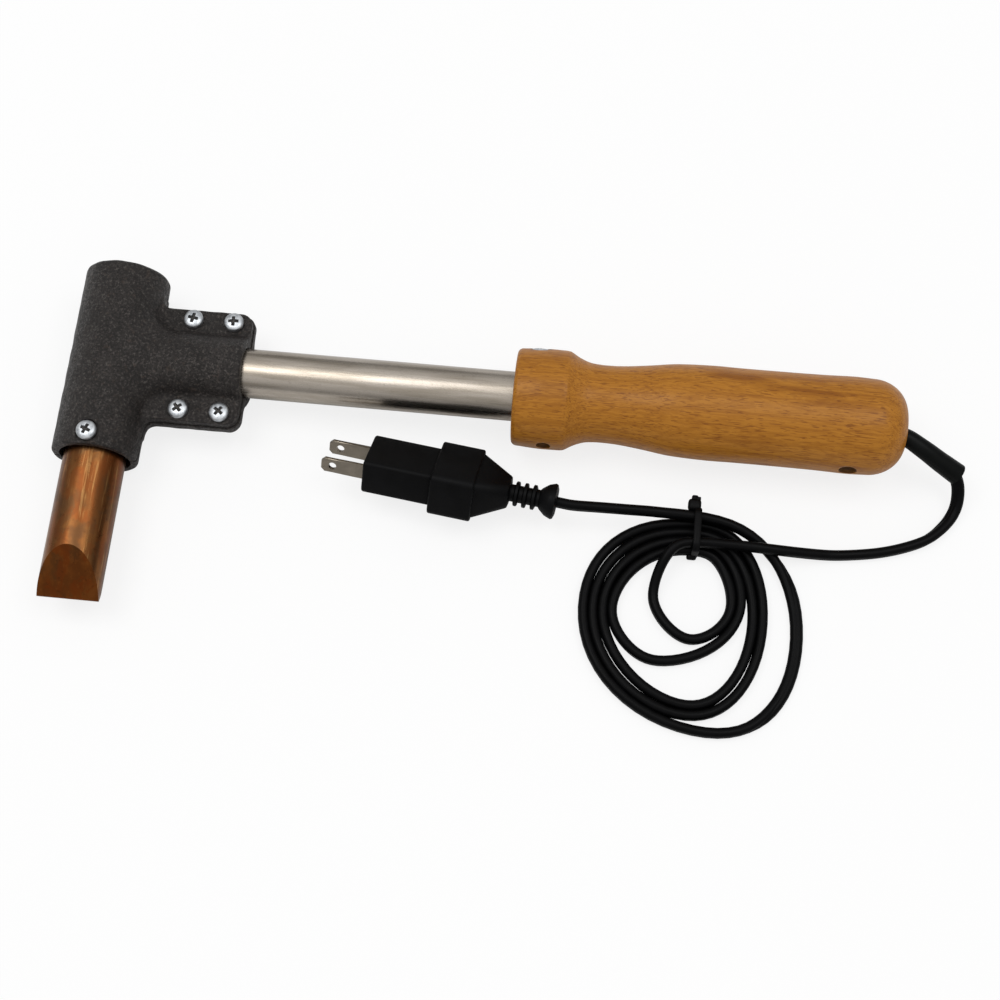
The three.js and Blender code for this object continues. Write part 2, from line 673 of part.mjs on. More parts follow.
// Sleeve around the lead where it leaves the handle, open at both ends.
const sleeveStretches = sleevePlainPoints + sleeveRoutePoints;
const sleevePath = leadPath.slice(leadSteps, leadSteps * (sleeveStretches + 1));
const sleeveLast = sleevePath.length - 1;
const outerRadii = sleevePath.map((_, i) => THREE.MathUtils.lerp(
  sleeveRadius, sleeveEndRadius, smooth((i - sleevePlainPoints) / (sleeveLast - sleevePlainPoints))));
const sleeve = toSolid(skin(roundRings(sleevePath, outerRadii, sleeveSides)));
const sleeveFrames = frames(sleevePath);
const overrun = (frame, distance) => frame.point.clone().addScaledVector(frame.along, distance);
const borePath = [
  overrun(sleeveFrames[0], -gap), ...sleevePath.slice(1, -1), overrun(sleeveFrames[sleeveLast], gap),
];
add('cord_sleeve', toGeometry(cut(
  sleeve, skin(roundRings(borePath, borePath.map(() => sleeveInnerRadius), sleeveSides)))), 'black');

// A quarter of a loop between a point where the cord runs level in the plan and one where it runs up or down it.
function quarter(levelPoint, steepPoint, levelFirst, power) {
  const points = [];
  for (let i = 1; i <= quarterSteps; i += 1) {
    const angle = (levelFirst ? i : quarterSteps - i) * (turn / 4 / quarterSteps);
    const rise = Math.abs(Math.sin(angle)) ** (2 / power);
    const run = Math.abs(Math.cos(angle)) ** (2 / power);
    points.push([
      levelPoint[0] + (steepPoint[0] - levelPoint[0]) * rise,
      steepPoint[1] + (levelPoint[1] - steepPoint[1]) * run,
      i / quarterSteps,
    ]);
  }
  return points;
}

// Coil: the cord passes through the tie's slots in turn and makes one loop between each two of them.
const edgeHeight = cordWidth * half - cordCut;
const flatHeight = cordThickness * half - cordCut;
const leftX = tieX - tieReach;
const rightX = tieX + tieReach;
const coilPath = [vector([coilStartX, ...slots[0]])];
const coilFlatness = [0];
loops.forEach(([leftmost, lowest, rightmost], k) => {
  const [inY, inZ] = slots[k];
  const [outY, outZ] = slots[k + 1];
  const roundness = firstRoundness + roundnessStep * k;
  const settled = (slot, share) => (
    smooth((share - slotHoldShares[slot]) / (slotSettleShares[slot] - slotHoldShares[slot])));
  [rightX, leftX].forEach((x) => {
    coilPath.push(vector([x, inY, inZ]));
    coilFlatness.push(0);
  });
  const place = ([x, y], height, flat) => {
    coilPath.push(vector([x, y, height]));
    coilFlatness.push(flat);
  };
  const lastLoop = k === loops.length - 1;
  const flatAt = (share) => (lastLoop ? smooth((share - flatFromShare) / flatBlendShare)
    * (1 - smooth((share - flatToShare) / flatBlendShare)) : 0);
  quarter([leftX, inY], leftmost, true, roundness).forEach((p) => (
    place(p, THREE.MathUtils.lerp(inZ, edgeHeight, settled(k, p[2])), 0)));
  quarter(lowest, leftmost, false, roundness - lowerLeftLess).forEach((p) => place(p, edgeHeight, 0));
  quarter(lowest, rightmost, true, roundness).forEach((p) => {
    const flat = flatAt(p[2] * half);
    place(p, THREE.MathUtils.lerp(edgeHeight, flatHeight, flat), flat);
  });
  quarter([rightX, outY], rightmost, false, roundness).slice(0, -1).forEach((p) => {
    const flat = flatAt((1 + p[2]) * half);
    const table = THREE.MathUtils.lerp(edgeHeight, flatHeight, flat);
    place(p, THREE.MathUtils.lerp(outZ, table, settled(k + 1, 1 - p[2])), flat);
  });
});
const lastSlot = slots[slots.length - 1];
const coilEndX = leftX - cordWidth;
[rightX, leftX, coilEndX].forEach((x) => {
  coilPath.push(vector([x, ...lastSlot]));
  coilFlatness.push(0);
});
const coilRings = cordRings(coilPath, coilFlatness);
add('cord_coil', skin(coilRings), 'black');

// Least distance between the corners of strands that are more than a few widths apart along the cord.
function leastGap(path, rings) {
  const lengths = path.map(() => 0);
  for (let i = 1; i < path.length; i += 1) lengths[i] = lengths[i - 1] + path[i].distanceTo(path[i - 1]);
  const dense = (ring, next, share) => ring.map((corner, j) => corner.clone().lerp(next[j], share));
  let least = Infinity;
  let where = '';
  for (let i = 0; i + 1 < rings.length; i += 1) {
    for (let j = i + 1; j + 1 < rings.length; j += 1) {
      if (lengths[j] - lengths[i + 1] < cordWidth * strandWidths) continue;
      if (path[i].distanceTo(path[j]) > cordWidth * nearWidths) continue;
      const mine = strandShares.flatMap((share) => dense(rings[i], rings[i + 1], share));
      const others = strandShares.flatMap((share) => dense(rings[j], rings[j + 1], share));
      mine.forEach((a) => others.forEach((b) => {
        const distance = a.distanceTo(b);
        if (distance < least) {
          least = distance;
          where = `steps ${i} and ${j} at ${a.toArray().map((v) => v.toFixed(1))}`;
        }
      }));
    }
  }
  return { least, where, length: lengths[lengths.length - 1] };
}
const measured = leastGap(coilPath, coilRings);
console.log(`coil: least gap between its strands ${measured.least.toFixed(2)} mm, ${measured.where}; `
  + `length ${measured.length.toFixed(0)} mm`);

// Tie: a band round the bundle of strands, with its head on the far side and its cut end on the near one.
const slotYs = slots.map(([y]) => y);
const slotZs = slots.map(([, z]) => z);
const bundleLow = [Math.min(...slotYs) - cordThickness * half, Math.min(...slotZs) - cordWidth * half];
const bundleHigh = [Math.max(...slotYs) + cordThickness * half, Math.max(...slotZs) + cordWidth * half];
function roundedOutline(target, margin) {
  const [lowY, lowZ] = bundleLow.map((value) => value - margin);
  const [highY, highZ] = bundleHigh.map((value) => value + margin);
  const round = Math.max(tieRound + margin - tieGap, 0);
  target.absarc(highY - round, highZ - round, round, 0, turn / 4, false);
  target.absarc(lowY + round, highZ - round, round, turn / 4, turn / 2, false);
  target.absarc(lowY + round, lowZ + round, round, turn / 2, (turn * 3) / 4, false);
  target.absarc(highY - round, lowZ + round, round, (turn * 3) / 4, turn, false);
  return target;
}
const bandShape = roundedOutline(new THREE.Shape(), tieGap + tieBand);
bandShape.holes.push(roundedOutline(new THREE.Path(), tieGap));
const toAcross = new THREE.Matrix4().makeBasis(
  new THREE.Vector3(0, 1, 0), new THREE.Vector3(0, 0, 1), new THREE.Vector3(1, 0, 0));
const band = new THREE.ExtrudeGeometry(bandShape, { depth: tieWidth, bevelEnabled: false, curveSegments: tieSteps })
  .applyMatrix4(toAcross).translate(tieX - tieWidth * half, 0, 0);
const tieHead = new THREE.BoxGeometry(...tieHeadSize).translate(
  tieX + tieHeadShift[0], bundleHigh[0] + tieGap + tieHeadShift[1], bundleHigh[1] + tieHeadShift[2]);
const tieTail = new THREE.BoxGeometry(...tieTailSize).translate(
  tieX + tieTailShift[0], bundleLow[0] - tieGap + tieTailShift[1], slots[1][1] + tieTailShift[2]);
add('cord_tie', toGeometry(cut(join(band, tieHead, tieTail), new THREE.ExtrudeGeometry(
  roundedOutline(new THREE.Shape(), tieGap), { depth: tieWidth * 4, bevelEnabled: false, curveSegments: tieSteps },
).applyMatrix4(toAcross).translate(tieX - tieWidth * 2, 0, 0))), 'black');

// Plug, drawn with its blades along -X and its broad side level, then turned and rolled onto the table.
const plug = new THREE.Group();
plug.name = 'plug';
part.add(plug);
function plugRing(x, width, thickness, round) {
  const ring = [];
  [[1, 1], [-1, 1], [-1, -1], [1, -1]].forEach(([w, t], corner) => {
    for (let j = 0; j <= plugCornerSteps; j += 1) {
      const angle = (corner + j / plugCornerSteps) * (turn / 4);
      ring.push(new THREE.Vector3(x, w * (width * half - round) + Math.cos(angle) * round,
        t * (thickness * half - round) + Math.sin(angle) * round));
    }
  });
  return ring;
}
const bladeYs = [-bladeSpacing * half, bladeSpacing * half];
const bladeSlots = bladeYs.map((y) => block(
  [-gap, y - bladeThickness * half - gap, -bladeHeight * half - gap],
  [bladeRootDepth + gap, y + bladeThickness * half + gap, bladeHeight * half + gap]));
add('plug_body', toGeometry(cut(toSolid(skin([
  plugRing(0, plugBodyWidth - plugFaceRound * 2, plugBodyThickness - plugFaceRound * 2,
    plugRound - plugFaceRound * half),
  plugRing(plugFaceRound, plugBodyWidth, plugBodyThickness, plugRound),
  plugRing(plugBodyLength, plugBodyWidth, plugBodyThickness, plugRound),
])), ...bladeSlots)), 'black', plug);
const collarFromX = plugBodyLength + gap;
const collarToX = collarFromX + collarLength;
add('plug_collar', skin([
  plugRing(collarFromX, collarWidth, collarThickness, collarRound),
  plugRing(collarToX, collarWidth, collarThickness, collarRound),
]), 'black', plug);

const bootFromX = collarToX + gap;
const neckX = bootFromX + bootConeLength;
const bootRings = [
  plugRing(bootFromX, collarWidth * bootConeShare, collarThickness * bootConeShare, collarRound),
  plugRing(neckX, bootNeckWidth, bootNeckThickness, bootNeckRound),
];
const bootRound = (x, radius) => bootRings.push(plugRing(x, radius * 2, radius * 2, radius));
for (let i = 0; i < bootRibs; i += 1) {
  const ribX = neckX + i * bootRibPitch + (bootRibPitch - bootRibLength);
  bootRound(ribX - (bootRibPitch - bootRibLength), bootCoreRadius);
  bootRound(ribX, bootCoreRadius);
  bootRound(ribX, bootRibRadius);
  bootRound(ribX + bootRibLength, bootRibRadius);
}
const bootEndX = neckX + bootRibs * bootRibPitch;
const bootToX = bootEndX + (bootRibPitch - bootRibLength) + bootEndLength;
bootRound(bootEndX, bootCoreRadius);
bootRound(bootEndX + (bootRibPitch - bootRibLength), bootCoreRadius);
bootRound(bootEndX + bootEndLength * half, bootEndRadius - bootRibLength * half);
bootRound(bootToX - bootRibLength, bootEndRadius);
bootRound(bootToX, bootRibRadius);
add('plug_boot', skin(bootRings), 'black', plug);

const bladeShape = new THREE.Shape([
  [-bladeLength + bladeChamfer, -bladeHeight * half], [bladeRootDepth, -bladeHeight * half],
  [bladeRootDepth, bladeHeight * half], [-bladeLength + bladeChamfer, bladeHeight * half],
  [-bladeLength, bladeHeight * half - bladeChamfer], [-bladeLength, bladeChamfer - bladeHeight * half],
].map(([x, z]) => new THREE.Vector2(x, z)));
bladeShape.holes.push(new THREE.Path().absarc(bladeHoleFromTip - bladeLength, 0, bladeHoleRadius, 0, turn, true));
bladeYs.forEach((y, i) => {
  const blade = new THREE.ExtrudeGeometry(bladeShape, {
    depth: bladeThickness, bevelEnabled: false, curveSegments: bladeHoleSteps,
  });
  add(`plug_blade_${i + 1}`, blade.rotateX(turn / 4).translate(0, y + bladeThickness * half, 0), 'brass', plug);
});
plug.rotation.set(plugRollAngle, 0, plugTurnAngle, 'ZYX');
plug.updateMatrixWorld(true);
const plugBounds = new THREE.Box3().setFromObject(plug, true);
plug.position.set(plugFace[0], plugFace[1], -plugBounds.min.z);
plug.updateMatrixWorld(true);

// Tail: from the coil's end to the boot, square to both.
const bootPoint = (distance) => new THREE.Vector3(bootToX + distance, 0, 0).applyMatrix4(plug.matrixWorld);
const tailStart = [coilEndX - gap, coilEndX - gap - cordWidth].map((x) => vector([x, ...lastSlot]));
const tailPath = smoothPath([
  ...tailStart, ...tailRoute.map(vector), bootPoint(gap + cordWidth), bootPoint(gap),
], 1);
add('cord_tail', skin(cordRings(tailPath, tailPath.map(() => 0))), 'black');

export default part;
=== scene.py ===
"""Looks of the electric soldering iron. The tables are in millimetres, as in the CAD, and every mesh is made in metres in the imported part's frame."""
import math

import bmesh
import bpy
import numpy as np
from mathutils import Matrix


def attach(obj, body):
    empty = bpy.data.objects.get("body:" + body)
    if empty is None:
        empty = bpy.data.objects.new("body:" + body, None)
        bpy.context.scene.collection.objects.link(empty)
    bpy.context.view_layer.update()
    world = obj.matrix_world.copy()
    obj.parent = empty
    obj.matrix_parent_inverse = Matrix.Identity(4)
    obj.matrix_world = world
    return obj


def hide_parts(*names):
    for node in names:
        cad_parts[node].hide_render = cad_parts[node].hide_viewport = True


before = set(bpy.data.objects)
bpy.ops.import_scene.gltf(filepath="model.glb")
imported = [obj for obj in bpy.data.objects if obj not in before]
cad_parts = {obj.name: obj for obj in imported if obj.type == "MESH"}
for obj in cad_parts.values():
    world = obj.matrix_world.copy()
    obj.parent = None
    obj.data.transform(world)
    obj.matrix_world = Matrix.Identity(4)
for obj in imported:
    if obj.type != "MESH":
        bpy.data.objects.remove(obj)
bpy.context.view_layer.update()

MM = 0.001
TURN = 2 * math.pi

# How the iron lies: the tilt that rests its head and its handle's flare on the table, and where its own origin is.
TILT = math.atan((20.2 - 17.2) / 176)
SHIFT = np.array([-151.937, 31.35, 17.1975])

# Camera, fitted to the photograph.
EYE = (37.31, -226.93, 642.74)
VIEW_RIGHT = (0.99475, 0.10215, -0.00609)
VIEW_UP = (-0.09456, 0.9404, 0.32666)
VIEW_BACK = (0.0391, -0.32437, 0.94512)
FOCAL_PIXELS = 1669.0

# Cord: section, route and coil, as in the CAD.
CORD_WIDTH, CORD_THICK, FLEX_THICK = 5.2, 3.2, 4.05
HANDLE_EXIT = 321.0
CORD_Y = -3.0
LEAD_ROUTE = [
    (176.1, 24.9, 21.4), (183.4, 21.5, 18.3), (190, 18.6, 14.7), (192.9, 15.7, 11.1), (194.2, 12, 7.4),
    (194.1, 7.4, 4.2), (192.2, 2.8, 2.6), (188.4, -2.2, 2.3), (183.2, -6.9, 2.3), (174.7, -11, 2.3),
    (164.7, -14.2, 2.3), (154.8, -16.1, 2.3), (145.1, -17.4, 2.7), (133.2, -18.6, 5.9), (122, -19.3, 8.8),
    (112, -19.4, 10),
]
TIE_X, TIE_REACH = 90.4, 3.6
SLOTS = [(-19.4, 10.1), (-20.9, 4.3), (-17.2, 4.3), (-13.5, 4.3), (-9.8, 4.3), (-8.6, 10.1)]
SLOT_HOLD = (0.4, 0.04, 0.04, 0.04, 0.04, 0.13)
SLOT_SETTLE = (1, 0.5, 0.5, 0.5, 0.5, 0.5)
LOOPS = [
    ((75, -41), (91, -58), (107, -42)),
    ((59, -48), (78, -68), (111, -42)),
    ((55, -48), (92, -85), (116, -48)),
    ((51, -48), (92, -89), (120, -48)),
    ((47, -48), (101, -95), (134, -53)),
]
# Roundness of the smallest loop, what each next loop adds to it and how much less round the lower left is.
FIRST_ROUNDNESS = 1.8
ROUNDNESS_STEP = 0.1
LOWER_LEFT_LESS = 0.2
TAIL_ROUTE = [(70.5, -8.9, 11.1), (62.5, -9.6, 12.6), (55, -10.1, 13.7), (47.5, -10.5, 14.4)]

# Plug: where its face is, and how it is turned and rolled.
PLUG_FACE = np.array([-43, -1, 14.716])
PLUG_TURN, PLUG_ROLL = -0.117, -0.616

# Handle: distance along the stem and radius.
HANDLE = [
    (166.6, 19.6), (171, 19.9), (176, 20.2), (182, 20.16), (185.1, 20.05), (186.1, 19.85), (187.1, 19.35),
    (190, 17.7), (194, 16.18), (197.5, 15.7), (203, 15.6), (209, 15.94), (219, 17.13), (228, 18.38), (243, 19.05),
    (255, 18.95), (286, 19.1), (300, 19.45), (307, 19.2),
]


def to_row(points):
    """Iron's own frame to the row's: x cos t - z sin t, y and x sin t + z cos t, plus the shift, t being the tilt."""
    p = np.asarray(points, float)
    c, s = math.cos(TILT), math.sin(TILT)
    return np.stack([p[..., 0] * c - p[..., 2] * s, p[..., 1], p[..., 0] * s + p[..., 2] * c], -1) + SHIFT


def plug_to_row(points):
    """Plug's own frame to the row's: rolled about X, then turned about Z, then moved to the plug's face."""
    p = np.asarray(points, float)
    turn = np.array(Matrix.Rotation(PLUG_TURN, 3, "Z") @ Matrix.Rotation(PLUG_ROLL, 3, "X"))
    return p @ turn.T + PLUG_FACE


def smooth(share):
    """3s^2 - 2s^3 for s held between 0 and 1."""
    s = np.clip(share, 0, 1)
    return s * s * (3 - 2 * s)


# Meshes.

def grid_quads(rows, columns, closed=True):
    """Quads between neighbouring rows of a grid, whose columns run round and meet if closed."""
    i = np.arange(rows - 1)[:, None]
    j = np.arange(columns if closed else columns - 1)[None]
    k = (j + 1) % columns
    a, b = i * columns + j, i * columns + k
    return np.stack(np.broadcast_arrays(a, b, b + columns, a + columns), -1).reshape(-1, 4)


def piece(name, points, faces, material, slot, body="iron", replaces=(), sharp=38, weld=True):
    """Mesh object of points in row millimetres. faces are arrays of equally long faces. Doubled points are welded, the faces turn outward, and edges sharper than the angle stay sharp."""
    mesh = bpy.data.meshes.new(name)
    faces = [np.asarray(f, np.int32) for f in faces]
    starts, loops, at = [], [], 0
    for block in faces:
        starts.append(at + np.arange(len(block)) * block.shape[1])
        loops.append(block.ravel())
        at += block.size
    mesh.vertices.add(len(points))
    mesh.vertices.foreach_set("co", (np.asarray(points) * MM).astype(np.float32).ravel())
    mesh.loops.add(at)
    mesh.loops.foreach_set("vertex_index", np.concatenate(loops))
    mesh.polygons.add(sum(len(f) for f in faces))
    mesh.polygons.foreach_set("loop_start", np.concatenate(starts).astype(np.int32))
    mesh.update(calc_edges=True)
    mesh.validate()
    if weld:
        work = bmesh.new()
        work.from_mesh(mesh)
        bmesh.ops.remove_doubles(work, verts=work.verts, dist=2e-6)
        bmesh.ops.recalc_face_normals(work, faces=work.faces)
        work.to_mesh(mesh)
        work.free()
    mesh.polygons.foreach_set("use_smooth", np.ones(len(mesh.polygons), bool))
    mesh.set_sharp_from_angle(angle=math.radians(sharp))
    made = bpy.data.objects.new(name, mesh)
    bpy.context.scene.collection.objects.link(made)
    mesh.materials.append(material)
    if body:
        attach(made, body)
        if replaces:
            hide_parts(*replaces)
    return made


def ring_solid(rings):
    """Points and faces of a closed solid through rings of equally many points, each end closed by a fan about its middle."""
    rows, columns = rings.shape[:2]
    ends = rings[[0, -1]].mean(1)
    j = np.arange(columns)
    k = (j + 1) % columns
    last = (rows - 1) * columns
    fans = np.concatenate([
        np.stack([np.full(columns, rows * columns), k, j], -1),
        np.stack([np.full(columns, rows * columns + 1), last + j, last + k], -1)])
    return np.concatenate([rings.reshape(-1, 3), ends]), [grid_quads(rows, columns), fans]


def turned(profile, sides, axis="x"):
    """Rings of a profile of (distance along, radius) turned about an axis: r cos a and r sin a across it."""
    profile = np.asarray(profile, float)
    angle = np.arange(sides) / sides * TURN
    along = np.repeat(profile[:, :1], sides, 1)
    a, b = profile[:, 1:] * np.cos(angle), profile[:, 1:] * np.sin(angle)
    order = {"x": (along, a, b), "y": (b, along, a), "z": (a, b, along)}[axis]
    return np.stack(order, -1)


def catmull(points, steps):
    """Centripetal Catmull-Rom curve through points: on each stretch a cubic whose end slopes come from the square roots of the neighbouring distances."""
    p = np.asarray(points, float)
    p = np.concatenate([2 * p[:1] - p[1:2], p, 2 * p[-1:] - p[-2:-1]])
    d = np.sqrt(np.linalg.norm(np.diff(p, axis=0), axis=1))[:, None]
    a, b, c, e = p[:-3], p[1:-2], p[2:-1], p[3:]
    da, db, dc = d[:-2], d[1:-1], d[2:]
    m = ((b - a) / da - (c - a) / (da + db) + (c - b) / db) * db
    n = ((c - b) / db - (e - b) / (db + dc) + (e - c) / dc) * db
    t = (np.arange(steps) / steps)[None, :, None]
    b, c, m, n = (v[:, None] for v in (b, c, m, n))
    curve = b + m * t + (3 * (c - b) - 2 * m - n) * t ** 2 + (2 * (b - c) + m + n) * t ** 3
    return np.concatenate([curve.reshape(-1, p.shape[1]), p[-2:-1]])


def axes_along(path):
    """Unit directions at each point of a path: along it, level across it, and the one square to both."""
    along = np.gradient(path, axis=0)
    along /= np.linalg.norm(along, axis=1)[:, None]
    side = np.stack([-along[:, 1], along[:, 0], 0 * along[:, 0]], -1)
    side /= np.linalg.norm(side, axis=1)[:, None]
    return along, side, np.cross(along, side)


def surface_net(field, low, high, step):
    """Smooth mesh where a field is zero. Each cell of a grid that the surface crosses gets a point at the mean of its edges' crossings, moved onto the surface along the field's slope, and the four cells round each crossed edge share a quad."""
    axes = [np.arange(a, b + step, step) for a, b in zip(low, high)]
    value = field(np.stack(np.meshgrid(*axes, indexing="ij"), -1))
    inside = value < 0
    cells = tuple(n - 1 for n in value.shape)
    total, count = np.zeros(cells + (3,)), np.zeros(cells)

    def shifted(array, offset):
        return array[tuple(slice(o, o + n) for o, n in zip(offset, cells))]
    for axis in range(3):
        others = [a for a in range(3) if a != axis]
        for u in (0, 1):
            for v in (0, 1):
                start = [0, 0, 0]
                start[others[0]], start[others[1]] = u, v
                end = list(start)
                end[axis] = 1
                a, b = shifted(value, start), shifted(value, end)
                crossed = (a < 0) != (b < 0)
                with np.errstate(divide="ignore", invalid="ignore"):
                    share = np.where(crossed, a / (a - b), 0)
                count += crossed
                for k in range(3):
                    total[..., k] += np.where(crossed, share if k == axis else start[k], 0)
    active = count > 0
    number = np.full(cells, -1)
    number[active] = np.arange(active.sum())
    index = np.argwhere(active)
    points = np.asarray(low) + (index + total[active] / count[active][:, None]) * step
    quads = []
    for axis in range(3):
        b, c = [(1, 2), (2, 0), (0, 1)][axis]
        first = np.take(inside, np.arange(inside.shape[axis] - 1), axis)
        second = np.take(inside, np.arange(1, inside.shape[axis]), axis)
        at = np.argwhere(first != second)
        at = at[(at[:, b] > 0) & (at[:, c] > 0) & (at[:, b] < cells[b]) & (at[:, c] < cells[c])]
        around = []
        for db, dc in ((1, 1), (0, 1), (0, 0), (1, 0)):
            cell = at.copy()
            cell[:, b] -= db
            cell[:, c] -= dc
            around.append(number[tuple(cell.T)])
        quad = np.stack(around, -1)
        flip = ~first[tuple(at.T)]
        quad[flip] = quad[flip][:, ::-1]
        quads.append(quad)
    reach = step * 0.02
    for _ in range(3):
        here = field(points)
        slope = np.stack([(field(points + reach * np.eye(3)[k]) - here) / reach for k in range(3)], -1)
        square = np.maximum((slope ** 2).sum(-1), 0.05)
        points = points - np.clip(here / square, -step / 2, step / 2)[:, None] * slope
    return points, [np.concatenate(quads)]


# Materials.

class Shader:
    """A material's nodes. Coordinates are the object's own, in millimetres."""

    def __init__(self, name, **settings):
        self.material = bpy.data.materials.new(name)
        self.material.use_nodes = True
        self.tree = self.material.node_tree
        self.surface = self.tree.nodes["Principled BSDF"]
        for key, value in settings.items():
            self.set(key.replace("_", " "), value)
        self.coordinates = self.add("ShaderNodeTexCoord").outputs["Object"]

    def add(self, kind, inputs=None, **properties):
        node = self.tree.nodes.new(kind)
        for key, value in properties.items():
            setattr(node, key, value)
        for key, value in (inputs or {}).items():
            self.feed(node.inputs[key], value)
        return node

    def feed(self, socket, value):
        if isinstance(value, bpy.types.NodeSocket):
            self.tree.links.new(value, socket)
        else:
            socket.default_value = value

    def set(self, key, value):
        if isinstance(value, tuple) and len(value) == 3:
            value = (*value, 1)
        self.feed(self.surface.inputs[key], value)

    def noise(self, scale, detail=3.0, roughness=0.5, distortion=0.0):
        """Noise whose scale is given along each axis in waves a millimetre."""
        scale = scale if isinstance(scale, tuple) else (scale,) * 3
        place = self.add("ShaderNodeMapping", {"Vector": self.coordinates, "Scale": tuple(s / MM for s in scale)})
        return self.add("ShaderNodeTexNoise", {
            "Vector": place.outputs[0], "Scale": 1.0, "Detail": detail, "Roughness": roughness,
            "Distortion": distortion}).outputs["Fac"]

    def ramp(self, value, *stops, smooth_=True):
        """Colours at places between 0 and 1."""
        node = self.add("ShaderNodeValToRGB", {"Fac": value})
        node.color_ramp.interpolation = "EASE" if smooth_ else "LINEAR"
        elements = node.color_ramp.elements
        while len(elements) < len(stops):
            elements.new(0.5)
        for element, (place, colour) in zip(elements, sorted(stops)):
            element.position = place
            colour = (colour,) * 3 if isinstance(colour, (int, float)) else colour
            element.color = (*colour, 1)
        return node.outputs["Color"]

    def mix(self, factor, a, b, mode="MIX"):
        node = self.add("ShaderNodeMix", data_type="RGBA", blend_type=mode)
        self.feed(node.inputs["Factor"], factor)
        for socket, value in ((node.inputs["A"], a), (node.inputs["B"], b)):
            for candidate in node.inputs:
                if candidate.identifier == f"{socket.name}_Color":
                    self.feed(candidate, (*value, 1) if isinstance(value, tuple) and len(value) == 3 else value)
        return [o for o in node.outputs if o.identifier == "Result_Color"][0]

    def maths(self, operation, a, b=0.0):
        node = self.add("ShaderNodeMath", operation=operation)
        self.feed(node.inputs[0], a)
        self.feed(node.inputs[1], b)
        return node.outputs[0]

    def bump(self, height, distance, strength=1.0):
        """Bump whose full height is the distance in millimetres."""
        normal = None
        if self.surface.inputs["Normal"].links:
            normal = self.surface.inputs["Normal"].links[0].from_socket
        node = self.add("ShaderNodeBump", {"Height": height, "Distance": distance * MM, "Strength": strength})
        if normal:
            self.feed(node.inputs["Normal"], normal)
        self.set("Normal", node.outputs["Normal"])


def cast_iron():
    s = Shader("cast_iron", Metallic=0.3)
    s.set("Specular IOR Level", 0.4)
    broad, grain, speck, pit = s.noise(0.09, 4), s.noise(0.9, 6, 0.8), s.noise(1.2, 4, 0.7), s.noise(0.45, 3, 0.6)
    colour = s.ramp(broad, (0.34, (0.0115, 0.0090, 0.0078)), (0.66, (0.0235, 0.0195, 0.0175)))
    # Light flecks of the grain: partly the casting's own sand grain, partly painted glints standing in for sparkle.
    colour = s.mix(s.ramp(grain, (0.50, 0.0), (0.64, 0.9)), colour, (0.098, 0.086, 0.078))
    colour = s.mix(s.ramp(speck, (0.50, 0.0), (0.60, 0.9)), colour, (0.0045, 0.0034, 0.0030))
    colour = s.mix(s.ramp(pit, (0.58, 0.0), (0.70, 0.45)), colour, (0.034, 0.019, 0.011))
    s.set("Base Color", colour)
    s.set("Roughness", s.ramp(grain, (0.38, 0.58), (0.64, 0.32)))
    s.bump(grain, 0.6, 0.9)
    s.bump(speck, 0.3, 0.8)
    s.bump(broad, 1.0, 0.4)
    return s.material


def zinc():
    s = Shader("zinc_plate", Metallic=0.9)
    cloud, fine = s.noise(0.6, 4), s.noise(3.0, 3)
    colour = s.ramp(cloud, (0.3, (0.36, 0.38, 0.40)), (0.7, (0.58, 0.60, 0.62)))
    s.set("Base Color", s.mix(s.ramp(fine, (0.55, 0.0), (0.8, 0.3)), colour, (0.16, 0.15, 0.14)))
    s.set("Roughness", s.ramp(cloud, (0.3, 0.3), (0.7, 0.44)))
    s.bump(fine, 0.02, 0.3)
    return s.material


# Dark colour for the faces inside the screws' cross recesses: painted shade, standing in for the shadow in the recess.
def recess():
    s = Shader("screw_recess_painted_shade", Metallic=0.4)
    s.set("Base Color", s.ramp(s.noise(1.4, 3), (0.3, (0.02, 0.018, 0.016)), (0.7, (0.06, 0.055, 0.05))))
    s.set("Roughness", 0.6)
    return s.material


def copper(name, light, dark, painted_highlight, rough):
    s = Shader(name, Metallic=1.0)
    streak, line = s.noise((0.16, 0.014, 0.16), 4, 0.55, 0.3), s.noise((0.6, 0.03, 0.6), 3, 0.6, 0.3)
    red = s.noise((0.10, 0.05, 0.10), 3, 0.6, 1.0)
    stain, fine, spots = s.noise(0.08, 4, 0.6, 0.5), s.noise((2.6, 0.3, 2.6), 3), s.noise(0.5, 4, 0.6)
    colour = s.mix(s.ramp(streak, (0.36, 0.0), (0.64, 1.0)), dark, light)
    colour = s.mix(s.ramp(stain, (0.48, 0.0), (0.62, 0.6)), colour, tuple(v * w for v, w in zip(dark, (0.7, 1.0, 1.5))))
    colour = s.mix(s.ramp(red, (0.50, 0.0), (0.62, 0.55)), colour, tuple(v * w for v, w in zip(light, (0.95, 0.62, 0.5))))
    # Golden streaks along the bit: painted highlights, bright lines standing in for the lamps' reflections.
    colour = s.mix(s.ramp(line, (0.56, 0.0), (0.64, 0.4), (0.72, 0.0)), colour, painted_highlight)
    colour = s.mix(s.ramp(spots, (0.60, 0.0), (0.70, 0.4)), colour, tuple(v * 0.5 for v in dark))
    s.set("Base Color", colour)
    s.set("Roughness", s.ramp(stain, (0.3, rough - 0.05), (0.75, rough + 0.08)))
    s.bump(fine, 0.015, 0.3)
    s.bump(spots, 0.05, 0.3)
    return s.material


def steel():
    s = Shader("brushed_steel", Metallic=1.0)
    brushed, cloud, spots = s.noise((0.02, 4.0, 4.0), 3, 0.6), s.noise((0.03, 0.3, 0.3), 3), s.noise(0.8, 4, 0.6)
    colour = s.ramp(cloud, (0.3, (0.30, 0.262, 0.215)), (0.7, (0.43, 0.385, 0.335)))
    colour = s.mix(s.ramp(spots, (0.55, 0.0), (0.8, 0.35)), colour, (0.13, 0.105, 0.085))
    s.set("Base Color", colour)
    s.set("Roughness", s.ramp(brushed, (0.3, 0.21), (0.7, 0.33)))
    s.set("Anisotropic", 0.3)
    s.bump(brushed, 0.012, 0.4)
    return s.material


